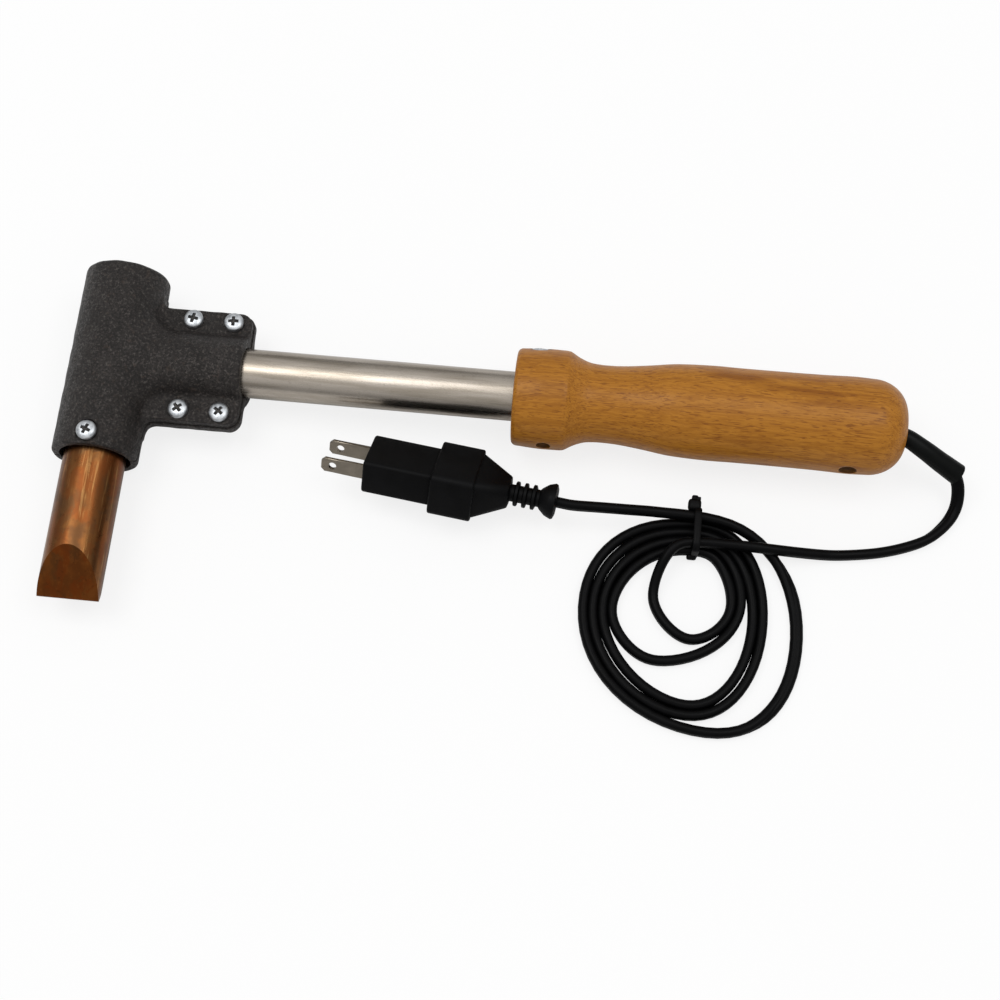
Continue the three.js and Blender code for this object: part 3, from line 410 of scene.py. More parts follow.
def wood(name="beech", shade=1.0, coat=0.06):
    s = Shader(name, Coat_Weight=coat, Coat_Roughness=0.2)
    s.set("Specular IOR Level", 0.2)
    figure, wave = s.noise((0.012, 0.11, 0.11), 4, 0.6, 1.6), s.noise((0.022, 0.9, 0.9), 4, 0.65, 0.5)
    pores, flecks = s.noise((0.10, 3.0, 3.0), 3, 0.65), s.noise((0.24, 2.4, 2.4), 1.5, 0.5, 0.2)
    light, mid, dark = (tuple(v * shade for v in c) for c in (
        (0.442, 0.178, 0.018), (0.370, 0.141, 0.012), (0.255, 0.085, 0.006)))
    colour = s.ramp(figure, (0.30, dark), (0.40, mid), (0.47, light), (0.53, mid), (0.57, light), (0.72, mid))
    colour = s.mix(s.ramp(wave, (0.50, 0.0), (0.64, 0.5)), colour, dark)
    colour = s.mix(s.ramp(pores, (0.50, 0.0), (0.72, 0.4)), colour, dark)
    colour = s.mix(s.ramp(flecks, (0.59, 0.0), (0.64, 0.65)), colour, tuple(v * w for v, w in zip(dark, (0.6, 0.48, 0.4))))
    s.set("Base Color", colour)
    s.set("Roughness", s.ramp(pores, (0.3, 0.36), (0.8, 0.5)))
    s.bump(pores, 0.03, 0.3)
    s.bump(s.ramp(flecks, (0.59, 1.0), (0.64, 0.0)), 0.04, 0.4)
    return s.material


def vinyl(name, colour=(0.0016, 0.0016, 0.0018), rough=0.32, grain=2.5, depth=0.015, gloss=0.06):
    s = Shader(name)
    cloud, fine = s.noise(0.12, 3), s.noise(grain, 3, 0.6)
    s.set("Base Color", s.ramp(cloud, (0.3, colour), (0.7, tuple(c * 1.6 for c in colour))))
    s.set("Roughness", s.ramp(cloud, (0.3, rough), (0.7, rough + 0.12)))
    s.set("Specular IOR Level", gloss)
    s.bump(fine, depth, 0.5)
    return s.material


def plain(name, colour, rough, metal=0.0, grain=1.2, depth=0.05):
    s = Shader(name, Metallic=metal)
    cloud, fine = s.noise(0.3, 4), s.noise(grain, 4, 0.6)
    s.set("Base Color", s.ramp(cloud, (0.3, tuple(c * 0.86 for c in colour)), (0.7, colour)))
    s.set("Roughness", s.ramp(fine, (0.3, rough), (0.7, min(rough + 0.12, 1))))
    s.bump(fine, depth, 0.5)
    return s.material


IRON, ZINC, RECESS_SHADE, STEEL, BEECH = cast_iron(), zinc(), recess(), steel(), wood()
# Each copper's third colour is the painted highlight of its golden streaks.
COPPER = copper("copper", (0.205, 0.086, 0.027), (0.130, 0.047, 0.015), (0.42, 0.235, 0.085), 0.3)
COPPER_FACET = copper("copper_facet", (0.135, 0.042, 0.009), (0.095, 0.029, 0.007), (0.16, 0.052, 0.012), 0.55)
# Beech at 0.3 of its colour for the holes' walls: painted shade in the drilled holes.
BORE_SHADE_WOOD = wood("beech_bore_painted_shade", 0.3, 0.0)
CORD_VINYL = vinyl("cord_vinyl")
SLEEVE_VINYL = vinyl("sleeve_vinyl", (0.0018, 0.0022, 0.0020), 0.34, gloss=0.08)
PLUG_VINYL = vinyl("plug_vinyl", (0.0019, 0.0019, 0.0021), 0.4, 1.6, 0.04, 0.07)
BLADE = plain("blade_plate", (0.27, 0.235, 0.19), 0.26, 1.0, 3.0, 0.01)
INNER = {
    "heater_core": plain("heater_ceramic", (0.8, 0.77, 0.7), 0.7),
    "heater_winding": plain("resistance_wire", (0.42, 0.4, 0.37), 0.45, 0.9, 2.4),
    "heater_wrap": plain("heat_wrap", (0.6, 0.54, 0.42), 0.75, 0.0, 0.9, 0.1),
    "terminal_block": plain("steatite", (0.84, 0.82, 0.76), 0.4),
    "terminal_screw": plain("terminal_brass", (0.72, 0.6, 0.34), 0.3, 1.0, 3.0, 0.02),
    "wire": plain("glass_sleeving", (0.78, 0.76, 0.71), 0.8, 0.0, 2.2, 0.12),
}
INNER["heater_end_plug"] = INNER["heater_core"]
INNER["heater_wire"] = INNER["cord_core"] = INNER["wire"]


# Camera.
camera_data = bpy.data.cameras.new("camera")
camera_data.sensor_width = 36.0
camera_data.lens = FOCAL_PIXELS / 1000 * 36.0
camera = bpy.data.objects.new("camera", camera_data)
camera.matrix_world = Matrix((
    (VIEW_RIGHT[0], VIEW_UP[0], VIEW_BACK[0], EYE[0] * MM),
    (VIEW_RIGHT[1], VIEW_UP[1], VIEW_BACK[1], EYE[1] * MM),
    (VIEW_RIGHT[2], VIEW_UP[2], VIEW_BACK[2], EYE[2] * MM),
    (0, 0, 0, 1)))
bpy.context.scene.collection.objects.link(camera)
bpy.context.scene.camera = camera


# Cord.

def quarter(level, steep, level_first, steps, power):
    """Quarter of a superellipse from a point where the cord runs level in the plan to one where it runs up or down it, or back."""
    i = np.arange(1, steps + 1)
    angle = (i if level_first else steps - i) * (TURN / 4 / steps)
    rise, run = (np.abs(f(angle)) ** (2 / power) for f in (np.sin, np.cos))
    return np.stack([level[0] + (steep[0] - level[0]) * rise, steep[1] + (level[1] - steep[1]) * run], -1), i / steps


def coil_path(steps=14):
    """Through the tie's slots in turn, with one loop of four quarters between each two, and each point's flatness: 0 on edge, 1 flat."""
    on_edge, on_flat = CORD_WIDTH / 2 - 0.3, CORD_THICK / 2 - 0.3
    left, right = TIE_X - TIE_REACH, TIE_X + TIE_REACH
    points, flats = [(right + CORD_WIDTH, *SLOTS[0])], [0.0]

    def settled(slot, share):
        return smooth((share - SLOT_HOLD[slot]) / (SLOT_SETTLE[slot] - SLOT_HOLD[slot]))
    for k, (leftmost, lowest, rightmost) in enumerate(LOOPS):
        (in_y, in_z), (out_y, out_z) = SLOTS[k], SLOTS[k + 1]
        points += [(right, in_y, in_z), (left, in_y, in_z)]
        flats += [0.0, 0.0]
        last = k == len(LOOPS) - 1
        for number, (level, steep, level_first) in enumerate((
                ((left, in_y), leftmost, True), (lowest, leftmost, False),
                (lowest, rightmost, True), ((right, out_y), rightmost, False))):
            roundness = FIRST_ROUNDNESS + ROUNDNESS_STEP * k - LOWER_LEFT_LESS * (number == 1)
            plan, share = quarter(level, steep, level_first, steps, roundness)
            flat = np.zeros(steps)
            if last and number > 1:
                u = (share + number - 2) / 2
                flat = smooth((u - 0.1) / 0.22) * (1 - smooth((u - 0.58) / 0.22))
            height = on_edge + (on_flat - on_edge) * flat
            if number == 0:
                height = in_z + (height - in_z) * settled(k, share)
            if number == 3:
                height = out_z + (height - out_z) * settled(k + 1, 1 - share)
            keep = steps - 1 if number == 3 else steps
            points += [(x, y, z) for (x, y), z in zip(plan[:keep], height)]
            flats += list(flat[:keep])
    points += [(x, *SLOTS[-1]) for x in (right, left, left - CORD_WIDTH)]
    return np.array(points), np.array(flats + [0.0] * 3)


LEAD_STEPS = 10
handle_points = to_row([(x, CORD_Y, 0) for x in (258.3, 290.0, 317.0, HANDLE_EXIT)])
coil, coil_flat = coil_path()
lead_end = [(coil[0, 0] + 0.3 + d, *SLOTS[0]) for d in (CORD_WIDTH, 0)]
lead = catmull(np.concatenate([handle_points, LEAD_ROUTE, lead_end]), LEAD_STEPS)
boot_end = plug_to_row([(77.9 + d, 0, 0) for d in (0.3 + CORD_WIDTH, 0.3)])
tail_start = [(coil[-1, 0] - 0.3 - d, *SLOTS[-1]) for d in (0, CORD_WIDTH)]
tail = catmull(np.concatenate([tail_start, TAIL_ROUTE, boot_end]), 8)
boot_core = plug_to_row([(74.4, 0, 0)])
flex_path = np.concatenate([lead[LEAD_STEPS + 3:-1], coil, tail[1:], boot_core])
for _ in range(8):
    flex_path[1:-1] = (flex_path[:-2] + 2 * flex_path[1:-1] + flex_path[2:]) / 4
# The lead leaves its sleeve half turned and comes on edge as it reaches the table.
lead_place = np.arange(LEAD_STEPS + 3, len(lead) - 1) / LEAD_STEPS
lead_flat = 0.6 * smooth((lead_place - 4.5) / 1.5) * (1 - smooth((lead_place - 9) / 4))
flex_flat = np.concatenate([lead_flat, coil_flat, np.zeros(len(tail))])


def flex_rings(path, flatness, lobes=13):
    """Two round cores side by side, plump enough to touch their neighbours: two arcs of half the thickness about centres on the width, which leaves a groove along each broad side."""
    _, side, up = axes_along(path)
    lean = ((1 - flatness) * TURN / 4)[:, None]
    width = side * np.cos(lean) + up * np.sin(lean)
    depth = up * np.cos(lean) - side * np.sin(lean)
    radius = FLEX_THICK / 2
    centre = CORD_WIDTH / 2 - radius
    arc = np.linspace(-math.radians(126), math.radians(126), lobes)
    w = np.concatenate([centre + radius * np.cos(arc), -centre - radius * np.cos(arc)])
    d = np.concatenate([radius * np.sin(arc), -radius * np.sin(arc)])
    rings = path[:, None] + width[:, None] * w[None, :, None] + depth[:, None] * d[None, :, None]
    rings[..., 2] = np.maximum(rings[..., 2], 0.02)
    return rings


flex = piece("flex", *ring_solid(flex_rings(flex_path, flex_flat)), CORD_VINYL, "black",
             replaces=("cord_lead", "cord_coil", "cord_tail"), sharp=70)

# Sleeve: a straight cone round the lead, open and cut square at its free end.
sleeve_path = lead[LEAD_STEPS:LEAD_STEPS * 6 - 3]
run = sleeve_path[-1] - sleeve_path[-6]
run /= np.linalg.norm(run)
sleeve_path = np.concatenate([sleeve_path, sleeve_path[-1] + run * np.linspace(0.9, 5.4, 6)[:, None]])
_, sleeve_side, sleeve_up = axes_along(sleeve_path)
spread = np.clip((np.arange(len(sleeve_path)) / LEAD_STEPS - 1.6) / 3.7, 0, 1)[:, None]
sleeve_angle = np.arange(40) / 40 * TURN


def sleeve_rings(rows, radius):
    """Circles about the sleeve's line."""
    return (sleeve_path[rows, None] + sleeve_side[rows, None] * (radius[rows] * np.cos(sleeve_angle))[..., None]
            + sleeve_up[rows, None] * (radius[rows] * np.sin(sleeve_angle))[..., None])


rows = np.arange(len(sleeve_path))
outer = sleeve_rings(rows, 3.45 + 0.95 * spread)
inner = sleeve_rings(rows[::-1], 2.95 + 0.8 * spread)
hose = np.concatenate([outer, inner, outer[:1]])
sleeve = piece("sleeve", hose.reshape(-1, 3), [grid_quads(len(hose), 40)], SLEEVE_VINYL, "black",
               replaces=("cord_sleeve",), sharp=50)


# Tie: a rounded band round the strands, its ratchet head and its cut end.

def soft_box(size, centre, bevel):
    """Box with bevelled edges: a grid-free eight-cornered box whose edges a bevel rounds."""
    work = bmesh.new()
    bmesh.ops.create_cube(work, size=1.0)
    for vertex in work.verts:
        vertex.co = [centre[k] + vertex.co[k] * size[k] for k in range(3)]
    bmesh.ops.bevel(work, geom=work.edges[:] + work.verts[:], offset=bevel, segments=3, profile=0.5,
                    affect="EDGES", clamp_overlap=True)
    bmesh.ops.triangulate(work, faces=work.faces)
    work.verts.index_update()
    points = np.array([v.co[:] for v in work.verts])
    faces = np.array([[v.index for v in f.verts] for f in work.faces])
    work.free()
    return points, faces


slot_y, slot_z = np.array(SLOTS).T
bundle_low = np.array([slot_y.min() - CORD_THICK / 2, slot_z.min() - CORD_WIDTH / 2])
bundle_high = np.array([slot_y.max() + CORD_THICK / 2, slot_z.max() + CORD_WIDTH / 2])


def band_loop(margin, radius):
    """Rounded rectangle round the bundle in the plane across the cord, eight points to a corner."""
    out = []
    for corner, (sy, sz) in enumerate(((1, 1), (-1, 1), (-1, -1), (1, -1))):
        cy = (bundle_high[0] + margin - radius) if sy > 0 else (bundle_low[0] - margin + radius)
        cz = (bundle_high[1] + margin - radius) if sz > 0 else (bundle_low[1] - margin + radius)
        a = (corner + np.linspace(0, 1, 8)) * TURN / 4
        out += list(zip(cy + radius * np.cos(a), cz + radius * np.sin(a)))
    return np.array(out)


band_rows = []
for offset, margin in ((-1.4, 0.75), (-1.1, 0.45), (1.1, 0.45), (1.4, 0.75), (1.4, 1.3), (1.0, 1.6), (-1.0, 1.6),
                       (-1.4, 1.3), (-1.4, 0.75)):
    loop = band_loop(margin, 2.2 + margin)
    band_rows.append(np.column_stack([np.full(len(loop), TIE_X + offset), loop]))
band = np.array(band_rows)
tie_parts = [
    soft_box((5.2, 4.6, 4.4), (TIE_X - 1.6, bundle_high[0] + 2.5, bundle_high[1] - 1.7), 1.3),
    soft_box((2.6, 3.0, 2.4), (TIE_X - 1.6, bundle_high[0] + 5.0, bundle_high[1] - 1.5), 0.7),
    soft_box((1.8, 1.6, 1.2), (TIE_X - 0.2, bundle_high[0] + 4.9, bundle_high[1] - 0.4), 0.4),
    soft_box((4.0, 2.6, 2.8), (TIE_X - 0.9, bundle_low[0] - 1.2, SLOTS[1][1] - 1.0), 0.9),
]
tie_faces, first = [], band.size // 3
for points, faces in tie_parts:
    tie_faces.append(faces + first)
    first += len(points)
tie = piece("tie", np.concatenate([band.reshape(-1, 3)] + [points for points, _ in tie_parts]),
            [grid_quads(len(band), band.shape[1]), np.concatenate(tie_faces)],
            PLUG_VINYL, "black", replaces=("cord_tie",), weld=False)


# Plug.

def plug_ring(x, width, thick, radius, steps=7):
    """Rounded rectangle across the plug's axis."""
    out = []
    for corner, (w, t) in enumerate(((1, 1), (-1, 1), (-1, -1), (1, -1))):
        a = (corner + np.linspace(0, 1, steps)) * TURN / 4
        out += [(x, w * (width / 2 - radius) + radius * np.cos(v), t * (thick / 2 - radius) + radius * np.sin(v)) for v in a]
    return out


def plug_piece(name, rows, material=PLUG_VINYL, **more):
    """Solid through rounded rectangles given as (x, width, thickness, corner radius)."""
    rings = np.array([plug_ring(*row) for row in rows])
    return piece(name, *ring_solid(plug_to_row(rings)), material, "plug_black", **more)


def boxed(x0, x1, width, thick, radius, edge):
    """Rows of a block whose two ends are rounded by the edge."""
    rows = []
    for t in np.linspace(0, TURN / 4, 4):
        inset = edge * (1 - math.sin(t))
        rows.append((x0 + edge * (1 - math.cos(t)), width - 2 * inset, thick - 2 * inset, max(radius - inset * 0.5, 0.3)))
    return rows + [(x1 - (r[0] - x0), *r[1:]) for r in rows[::-1]]


body = plug_piece("plug_shell", boxed(0, 29.0, 21.4, 14.8, 1.7, 1.0), replaces=("plug_body",))
collar = plug_piece("plug_grip", boxed(27.7, 45.2, 27.4, 19.2, 2.8, 0.8), replaces=("plug_collar",))
boot_rows = [(43.5, 23.9, 16.7, 2.4), (45.6, 24.1, 16.9, 2.6), (57.6, 12.7, 11.3, 4.0), (58.2, 12.2, 10.8, 4.4),
             (58.5, 9.5, 9.0, 4.4)]
for start in (60.2, 63.7, 67.2):
    boot_rows += [(start - 1.6, 7.0, 7.0, 3.49), (start - 0.1, 7.0, 7.0, 3.49), (start + 0.1, 9.2, 9.2, 4.59),
                  (start + 0.4, 10.1, 10.1, 5.04), (start + 1.4, 10.1, 10.1, 5.04), (start + 1.7, 9.2, 9.2, 4.59)]
boot_rows += [(69.3, 7.0, 7.0, 3.49), (70.3, 7.0, 7.0, 3.49), (70.9, 8.6, 8.6, 4.29), (73.4, 12.6, 12.6, 6.2),
              (76.0, 14.4, 14.4, 7.0), (76.8, 13.8, 13.8, 6.8), (77.4, 10.4, 10.4, 5.1)]
boot = plug_piece("plug_relief", boot_rows, replaces=("plug_boot",), sharp=44)


def blade_mesh(y):
    """Blade outline and hole as two loops met by rays from the hole's centre, closed to a plate with broken edges."""
    length, height, thick, hole, from_tip, chamfer = 17.5, 6.35, 1.5, 1.6, 4.6, 1.4
    root = 4.9
    corners = [(root, -height / 2), (root, height / 2), (chamfer - length, height / 2), (-length, height / 2 - chamfer),
               (-length, chamfer - height / 2), (chamfer - length, -height / 2)]
    centre = np.array([from_tip - length, 0.0])
    turns = np.unique(np.concatenate([
        np.linspace(-math.pi, math.pi, 64, endpoint=False),
        [math.atan2(c[1] - centre[1], c[0] - centre[0]) for c in corners]]).round(6))
    rays = np.stack([np.cos(turns), np.sin(turns)], -1)
    reach = np.full(len(rays), np.inf)
    for a, b in zip(corners, corners[1:] + corners[:1]):
        a, edge = np.array(a) - centre, np.array(b) - np.array(a)
        normal = np.array([edge[1], -edge[0]])
        with np.errstate(divide="ignore"):
            t = (a @ normal) / (rays @ normal)
        reach = np.where((rays @ normal > 1e-9) & (t > 0), np.minimum(reach, t), reach)
    rim = centre + rays * reach[:, None]
    bore = centre + rays * hole
    trim = rim - rays * 0.18
    rows_ = []
    for outline, side in ((bore, -1), (trim, -1), (rim, -0.72), (rim, 0.72), (trim, 1), (bore, 1), (bore, -1)):
        rows_.append(np.column_stack([outline[:, 0], np.full(len(outline), y + side * thick / 2), outline[:, 1]]))
    rows_ = np.array(rows_)
    return plug_to_row(rows_).reshape(-1, 3), [grid_quads(len(rows_), len(rim))]


blades = [piece(f"blade_{i + 1}", *blade_mesh(y), BLADE, "brass", replaces=(f"plug_blade_{i + 1}",), sharp=25)
          for i, y in enumerate((-6.35, 6.35))]


# Cast head: each half is the zero surface of a field, so its parts run into each other as a casting's do.

def round_bar(p, axis, low, high, radius, edge):
    """Distance to a round bar along an axis whose end edges are rounded."""
    across = np.hypot(*(p[..., k] for k in range(3) if k != axis)) - radius + edge
    along = np.abs(p[..., axis] - (low + high) / 2) - (high - low) / 2 + edge
    return np.minimum(np.maximum(across, along), 0) + np.hypot(np.maximum(across, 0), np.maximum(along, 0)) - edge


def fillet(a, b, radius):
    """Union of two distances whose inner corner is an arc: the larger of the radius and the nearer distance, less the length of what each distance lacks to the radius."""
    lack_a, lack_b = np.maximum(radius - a, 0), np.maximum(radius - b, 0)
    return np.maximum(radius, np.minimum(a, b)) - np.hypot(lack_a, lack_b)


def plate(p, extra):
    """Distance to the flange: a plan with round right corners and arcs into the head's sides, extruded to both sides of the split."""
    corner, edge, half_span, right, thick, side = 5.0, 0.7, 24.5 + extra, 55.2 + extra, 4.0, 16.7
    x, y = p[..., 0], p[..., 1]
    dx, dy = x - right + corner, np.abs(y) - half_span + corner
    plan = np.minimum(np.maximum(dx, dy), 0) + np.hypot(np.maximum(dx, 0), np.maximum(dy, 0)) - corner
    arc = np.where(y > 0, 4.0, 5.5)
    strip = np.maximum(x - side, np.abs(y) - half_span - arc)
    plan = np.maximum(fillet(plan, strip, arc), -x) + edge
    rise = np.abs(p[..., 2]) - thick + edge
    return np.minimum(np.maximum(plan, rise), 0) + np.hypot(np.maximum(plan, 0), np.maximum(rise, 0)) - edge


def head_field(front):
    """Cylinder, barrel and flange run together, less the cavity, the socket, the passage and the screw holes, cut at the split. Each fillet's radius falls as the two surfaces' directions come together, and slow waves of a twentieth of a millimetre make it uneven, as sand leaves it."""
    extra = 0.0 if front else 0.6

    def field(p):
        x, y, z = p[..., 0], p[..., 1], p[..., 2]
        about_y, about_x = np.hypot(x, z) + 1e-6, np.hypot(y, z) + 1e-6
        shell = round_bar(p, 1, -42.2, 38.2, 17.2, 1.6)
        barrel = np.where(x > 0, round_bar(p, 0, -8.0, 55.2 + extra, 14.0, 1.2), 9.0)
        turn = np.clip(1 - z * z / (about_y * about_x), 0, 1)
        solid = fillet(shell, barrel, 0.4 + 10.0 * np.sqrt(turn))
        solid = fillet(solid, plate(p, extra), 2.2)
        solid = solid + 0.035 * (np.sin(0.83 * x + 1.7 * np.sin(0.31 * y)) + np.sin(0.71 * y + 1.3 * np.sin(0.37 * z + 0.2 * x))
                                + np.sin(0.9 * z + 0.55 * x - 0.4 * y))
        solid = np.maximum(solid, -y - 42.2)
        solid = np.maximum(solid, x - 55.2 - extra)
        holes = [
            np.maximum(about_y - 14.0, y - 34.6),
            np.maximum(about_x - 10.3, 21.7 - x),
            np.maximum(about_x - 8.6, -x)]
        holes += [np.hypot(x - sx, y - sy) - 2.2 for sx in (31.1, 47.8) for sy in (-19.8, 19.8)]
        if front:
            holes.append(np.maximum(np.hypot(x, y + 36.8) - 2.2, -z))
            holes.append(np.maximum(np.hypot(x, y + 36.8) - 4.6, 16.3 - z))
        for hole in holes:
            solid = np.maximum(solid, -hole)
        return np.maximum(solid, 0.15 - z if front else z + 0.15)
    return field


STEP = 0.48
for name, front, low, high in (("head_front", True, (-18, -43, -0.9), (59, 39.5, 18.2)),
                               ("head_rear", False, (-18, -43, -18.2), (59, 39.5, 0.9))):
    points, faces = surface_net(head_field(front), low, high, STEP)
    piece(name, to_row(points), faces, IRON, "cast", replaces=(f"{name}_casting",), sharp=45, weld=False)


# Copper bit: a round bar whose two slanting planes clip each section's circle to a flat top and bottom.
BIT_R, TIP, FACET, EDGE = 12.3, -100.9, 18.6, 0.3
arc_steps, flat_steps = 40, 14


def bit_ring(y, radius, half_height):
    """Circle clipped to a height: an arc up each side and a straight line across the top and the bottom."""
    lift = math.asin(min(half_height / radius, 1))
    arc = np.linspace(-lift, lift, arc_steps)
    x, z = radius * np.cos(arc), radius * np.sin(arc)
    across = np.linspace(1, -1, flat_steps + 2)[1:-1] * radius * math.cos(lift)
    flat = np.full(flat_steps, radius * math.sin(lift))
    ring_x = np.concatenate([x, across, -x, -across])
    ring_z = np.concatenate([z, flat, -z, -flat])
    return np.column_stack([ring_x, np.full(len(ring_x), y), ring_z])


bit_rows = [bit_ring(TIP, BIT_R, EDGE)]
for share in np.linspace(0, 1, 25)[1:]:
    angle = share * TURN / 4
    height = EDGE + (BIT_R - EDGE) * math.sin(angle)
    bit_rows.append(bit_ring(TIP + FACET * math.sin(angle), BIT_R, height))
bit_rows += [bit_ring(y, BIT_R, BIT_R) for y in np.linspace(TIP + FACET + 2, -30.0, 20)]
bit_rows += [bit_ring(-29, BIT_R, BIT_R), bit_ring(-28, 11.3, 11.3), bit_ring(-28, 7.5, 7.5), bit_ring(17, 7.5, 7.5),
             bit_ring(18, 6.5, 6.5)]
bit_rows = np.array(bit_rows)
bit = piece("bit", *ring_solid(to_row(bit_rows)), COPPER, "copper", body="bit", replaces=("copper_bit",), sharp=24)
bit.data.materials.append(COPPER_FACET)
centres = np.empty(len(bit.data.polygons) * 3, np.float32)
normals = np.empty_like(centres)
bit.data.polygons.foreach_get("center", centres)
bit.data.polygons.foreach_get("normal", normals)
normals = normals.reshape(-1, 3)
slant = (normals[:, 1] < -0.4) & (np.abs(normals[:, 2]) > 0.6)
bit.data.polygons.foreach_set("material_index", slant.astype(np.int32))


# Screws: a domed head with a cross recess over a plain shank.

def screw(name, seat, up, head_radius, head_height, shank_radius, shank_length, body="iron", node=None, sides=96, spin=0.0):
    """Rings about the screw's axis. The head's height falls as a dome, less the cross: where the smaller of the two offsets is under half an arm's width and the larger is under the span, the floor drops to the recess."""
    radii = np.concatenate([np.linspace(0, 0.62, 34), np.linspace(0.66, 1, 12)]) * head_radius
    angle = np.arange(sides) / sides * TURN
    share = radii / head_radius
    dome = head_height * (0.42 + 0.58 * np.sqrt(np.clip(1 - share ** 2.6, 0, 1)))
    x, y = radii[:, None] * np.cos(angle), radii[:, None] * np.sin(angle)
    minor, major = np.minimum(abs(x), abs(y)), np.maximum(abs(x), abs(y))
    arm, reach = 0.15 * head_radius, 0.5 * head_radius
    inside = smooth((arm - minor) / 0.16 + 0.5) * smooth((reach - major) / 0.3 + 0.5)
    z = dome[:, None] - inside * head_height * 0.62 * (1 - 0.45 * major / reach)
    top = np.stack([x, y, z], -1)
    lower = turned([(0.12, head_radius), (0, head_radius - 0.12), (0, shank_radius), (-shank_length, shank_radius)],
                   sides, "z")
    rings = np.concatenate([top, lower])
    up = np.asarray(up, float)
    side = np.cross(up, (math.cos(spin), math.sin(spin), 0.37))
    side /= np.linalg.norm(side)
    basis = np.stack([side, np.cross(up, side), up])
    made = piece(name, *ring_solid(to_row(rings @ basis + np.asarray(seat))), ZINC, "zinc", body=body,
                 replaces=(node or name + "_cad",), sharp=32)
    made.data.materials.append(RECESS_SHADE)
    centre = np.empty(len(made.data.polygons) * 3, np.float32)
    made.data.polygons.foreach_get("center", centre)
    axis_row = to_row(up) - to_row((0, 0, 0))
    away = (centre.reshape(-1, 3) / MM - to_row(seat))
    high = away @ axis_row
    flat = away - high[:, None] * axis_row
    side_row, other_row = (to_row(v) - to_row((0, 0, 0)) for v in basis[:2])
    a, b = np.abs(flat @ side_row), np.abs(flat @ other_row)
    # Faces down in the cross take the second slot, the recess's painted shade.
    low = (np.minimum(a, b) < arm * 0.92) & (np.maximum(a, b) < reach * 0.97) & (high > 0)
    made.data.polygons.foreach_set("material_index", low.astype(np.int32))
    return made


number = 0
for x in (31.1, 47.8):
    for y in (19.8, -19.8):
        number += 1
        screw(f"pan_screw_{number}", (x, y, 4.3), (0, 0, 1), 4.0, 2.5, 1.9, 8.6, node=f"flange_screw_{number}",
              spin=0.5 + 0.9 * number)
screw("pan_screw_bit", (0, -36.8, 16.6), (0, 0, 1), 4.0, 2.5, 1.9, 4.0, body="bit_clamp", node="bit_screw", spin=1.2)
LEAN = 0.47
lean_up = np.array([0, math.cos(LEAN), math.sin(LEAN)])
screw("wall_screw_upper", (174, *(17.7 * lean_up[1:])), lean_up, 4.2, 2.5, 1.8, 10.7, node="handle_screw_upper")
screw("wall_screw_lower", (178.2, -13.3, 0), (0, -1, 0), 2.6, 1.8, 1.8, 6.3, node="handle_screw_lower")
screw("wall_screw_clamp", (299, -13.9, 0), (0, -1, 0), 3.3, 1.9, 1.6, 7.0, node="cord_clamp_screw")

# Stem tube.
tube_profile = [(22, 8.8), (22, 10), (205, 10), (205, 8.8), (22, 8.8)]
tube = turned(tube_profile, 160)
piece("stem", to_row(tube).reshape(-1, 3), [grid_quads(len(tube), 160)], STEEL, "steel", replaces=("stem_tube",))

# Handle: turned along its stations, then drilled.
curve = catmull(HANDLE, 8)
end = np.linspace(0, TURN / 4, 22)[1:]
profile = [(165, 0), (165, 18.0), (165.12, 18.5), (165.5, 19.0), (166, 19.35)] + [tuple(p) for p in curve]
profile += [(307 + 14 * math.sin(a), 6.5 + 12.7 * math.cos(a)) for a in end] + [(321, 3.0), (321, 0)]
handle_rings = turned(profile, 180)
handle = piece("handle", *ring_solid(to_row(handle_rings)), BEECH, "wood", replaces=("wooden_handle",), sharp=40)
handle.data.materials.append(BORE_SHADE_WOOD)


def drill(target, holes):
    """Cuts round holes, each given by its two ends and its radius, with one exact boolean."""
    rings = []
    cutter_points, cutter_quads, cutter_fans, base = [], [], [], 0
    for start, finish, radius in holes:
        start, finish = np.asarray(start, float), np.asarray(finish, float)
        axis = (finish - start) / np.linalg.norm(finish - start)
        side = np.cross(axis, (0.31, 0.47, 0.83))
        side /= np.linalg.norm(side)
        a = (np.arange(48) / 48 * TURN)[:, None]
        across = (side * np.cos(a) + np.cross(axis, side) * np.sin(a)) * radius
        rings = np.array([start + across, finish + across])
        points_, (quads_, fans_) = ring_solid(to_row(rings))
        cutter_points.append(points_)
        cutter_quads.append(quads_ + base)
        cutter_fans.append(fans_ + base)
        base += len(points_)
    cutter = piece("cutter", np.concatenate(cutter_points), [np.concatenate(cutter_quads), np.concatenate(cutter_fans)],
                   BORE_SHADE_WOOD, "wood", body=None)
    modifier = target.modifiers.new("drill", "BOOLEAN")
    modifier.object, modifier.solver, modifier.operation = cutter, "EXACT", "DIFFERENCE"
    modifier.use_self = True
    # The cut walls take the cutter's darkened beech, the holes' painted shade.
    modifier.material_mode = "TRANSFER"
    result = bpy.data.meshes.new_from_object(target.evaluated_get(bpy.context.evaluated_depsgraph_get()))
    target.modifiers.clear()
    target.data = result
    bpy.data.objects.remove(cutter)


drill(handle, [
    ((160, 0, 0), (262, 0, 0), 10.35), ((258, CORD_Y, 0), (330, CORD_Y, 0), 3.95),
    ((174, *(10 * lean_up[1:])), (174, *(30 * lean_up[1:])), 2.1),
    ((174, *(17.4 * lean_up[1:])), (174, *(30 * lean_up[1:])), 4.5),
    ((178.2, -10, 0), (178.2, -30, 0), 2.1), ((178.2, -13, 0), (178.2, -30, 0), 2.9),
    ((299, -6, 0), (299, -30, 0), 1.9), ((299, -13.6, 0), (299, -30, 0), 3.6)])

# CAD nodes that stay: the heater and the wiring inside.
for name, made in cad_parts.items():
    for key, material in INNER.items():
        if name.startswith(key):
            made.data.materials.clear()
            made.data.materials.append(material)


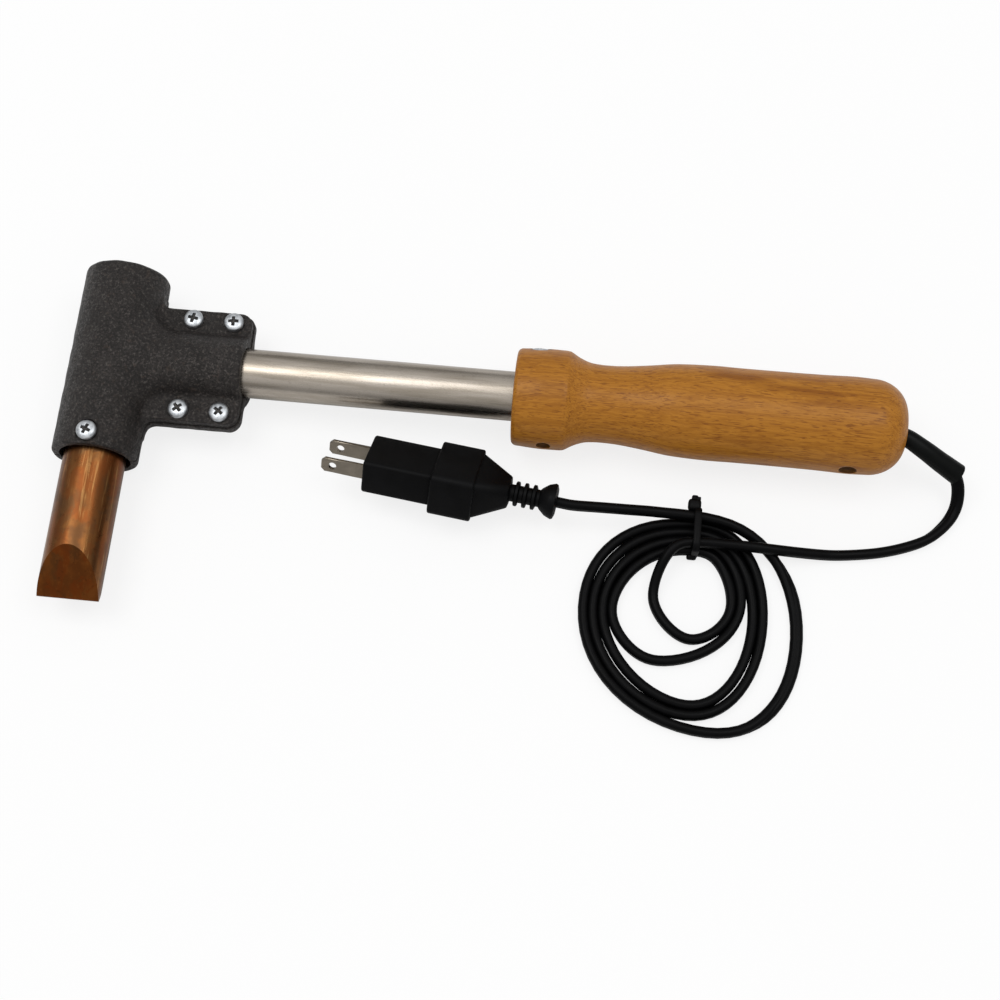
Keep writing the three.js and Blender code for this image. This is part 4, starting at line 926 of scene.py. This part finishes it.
# Floor and light: the floor's own colour and shadow, lifted towards white for the camera alone.
floor_points = np.array([(-3000, -3000, -0.25), (3000, -3000, -0.25), (3000, 3000, -0.25), (-3000, 3000, -0.25)])
floor_shader = Shader("floor", Roughness=0.9)
floor_shader.set("Base Color", floor_shader.ramp(floor_shader.noise(0.002, 2), (0.0, 0.89), (1.0, 0.92)))
floor_shader.set("Specular IOR Level", 0.0)
floor_shader.set("Emission Color", (1.0, 1.0, 1.0))
seen = floor_shader.add("ShaderNodeLightPath")
lift = floor_shader.add("ShaderNodeMixShader", {"Fac": floor_shader.maths("MULTIPLY", seen.outputs["Is Camera Ray"], 0.78)})
glow = floor_shader.add("ShaderNodeEmission", {"Color": (1, 1, 1, 1), "Strength": 1.03})
end_node = floor_shader.tree.nodes["Material Output"]
floor_shader.tree.links.new(floor_shader.surface.outputs[0], lift.inputs[1])
floor_shader.tree.links.new(glow.outputs[0], lift.inputs[2])
floor_shader.tree.links.new(lift.outputs[0], end_node.inputs["Surface"])
floor = piece("floor", floor_points, [np.array([[0, 1, 2, 3]])], floor_shader.material, "cast", body=None, weld=False)


def area_light(name, place, target, size, power):
    """Rectangular light at a place, turned towards a target, in metres."""
    data = bpy.data.lights.new(name, "AREA")
    data.shape, data.size, data.size_y, data.energy = "RECTANGLE", size[0], size[1], power
    made = bpy.data.objects.new(name, data)
    made.location = place
    direction = Matrix.Translation(target).translation - Matrix.Translation(place).translation
    made.rotation_euler = direction.to_track_quat("-Z", "Y").to_euler()
    bpy.context.scene.collection.objects.link(made)


area_light("softbox_left", (-0.78, 0.15, 2.0), (0, 0, 0), (1.1, 1.1), 13)
area_light("softbox_right", (0.78, 0.15, 2.0), (0, 0, 0), (1.1, 1.1), 10)
world = bpy.data.worlds.new("studio")
world.use_nodes = True
bpy.context.scene.world = world
sky = world.node_tree
background = sky.nodes["Background"]
background.inputs["Color"].default_value = (1, 1, 1, 1)
ray = sky.nodes.new("ShaderNodeLightPath")
toward = sky.nodes.new("ShaderNodeNewGeometry")
parts = sky.nodes.new("ShaderNodeSeparateXYZ")
sky.links.new(toward.outputs["Incoming"], parts.inputs[0])


def blend(value, low, high, start=0.0, finish=1.0):
    """A level between two others."""
    node = sky.nodes.new("ShaderNodeMapRange")
    node.inputs["From Min"].default_value, node.inputs["From Max"].default_value = start, finish
    sky.links.new(value, node.inputs["Value"])
    for key, level in (("To Min", low), ("To Max", high)):
        if isinstance(level, bpy.types.NodeSocket):
            sky.links.new(level, node.inputs[key])
        else:
            node.inputs[key].default_value = level
    return node.outputs["Result"]


# Reflections see a room that darkens towards its walls; matte surfaces see an even one.
reflected = blend(parts.outputs["Z"], 0.25, 1.0, 0.0, -0.85)
unlit = blend(ray.outputs["Is Glossy Ray"], 0.5, reflected)
unlit = blend(ray.outputs["Is Transmission Ray"], unlit, 1.0)
sky.links.new(blend(ray.outputs["Is Camera Ray"], unlit, 1.0), background.inputs["Strength"])

bpy.context.scene.view_settings.view_transform = "Standard"
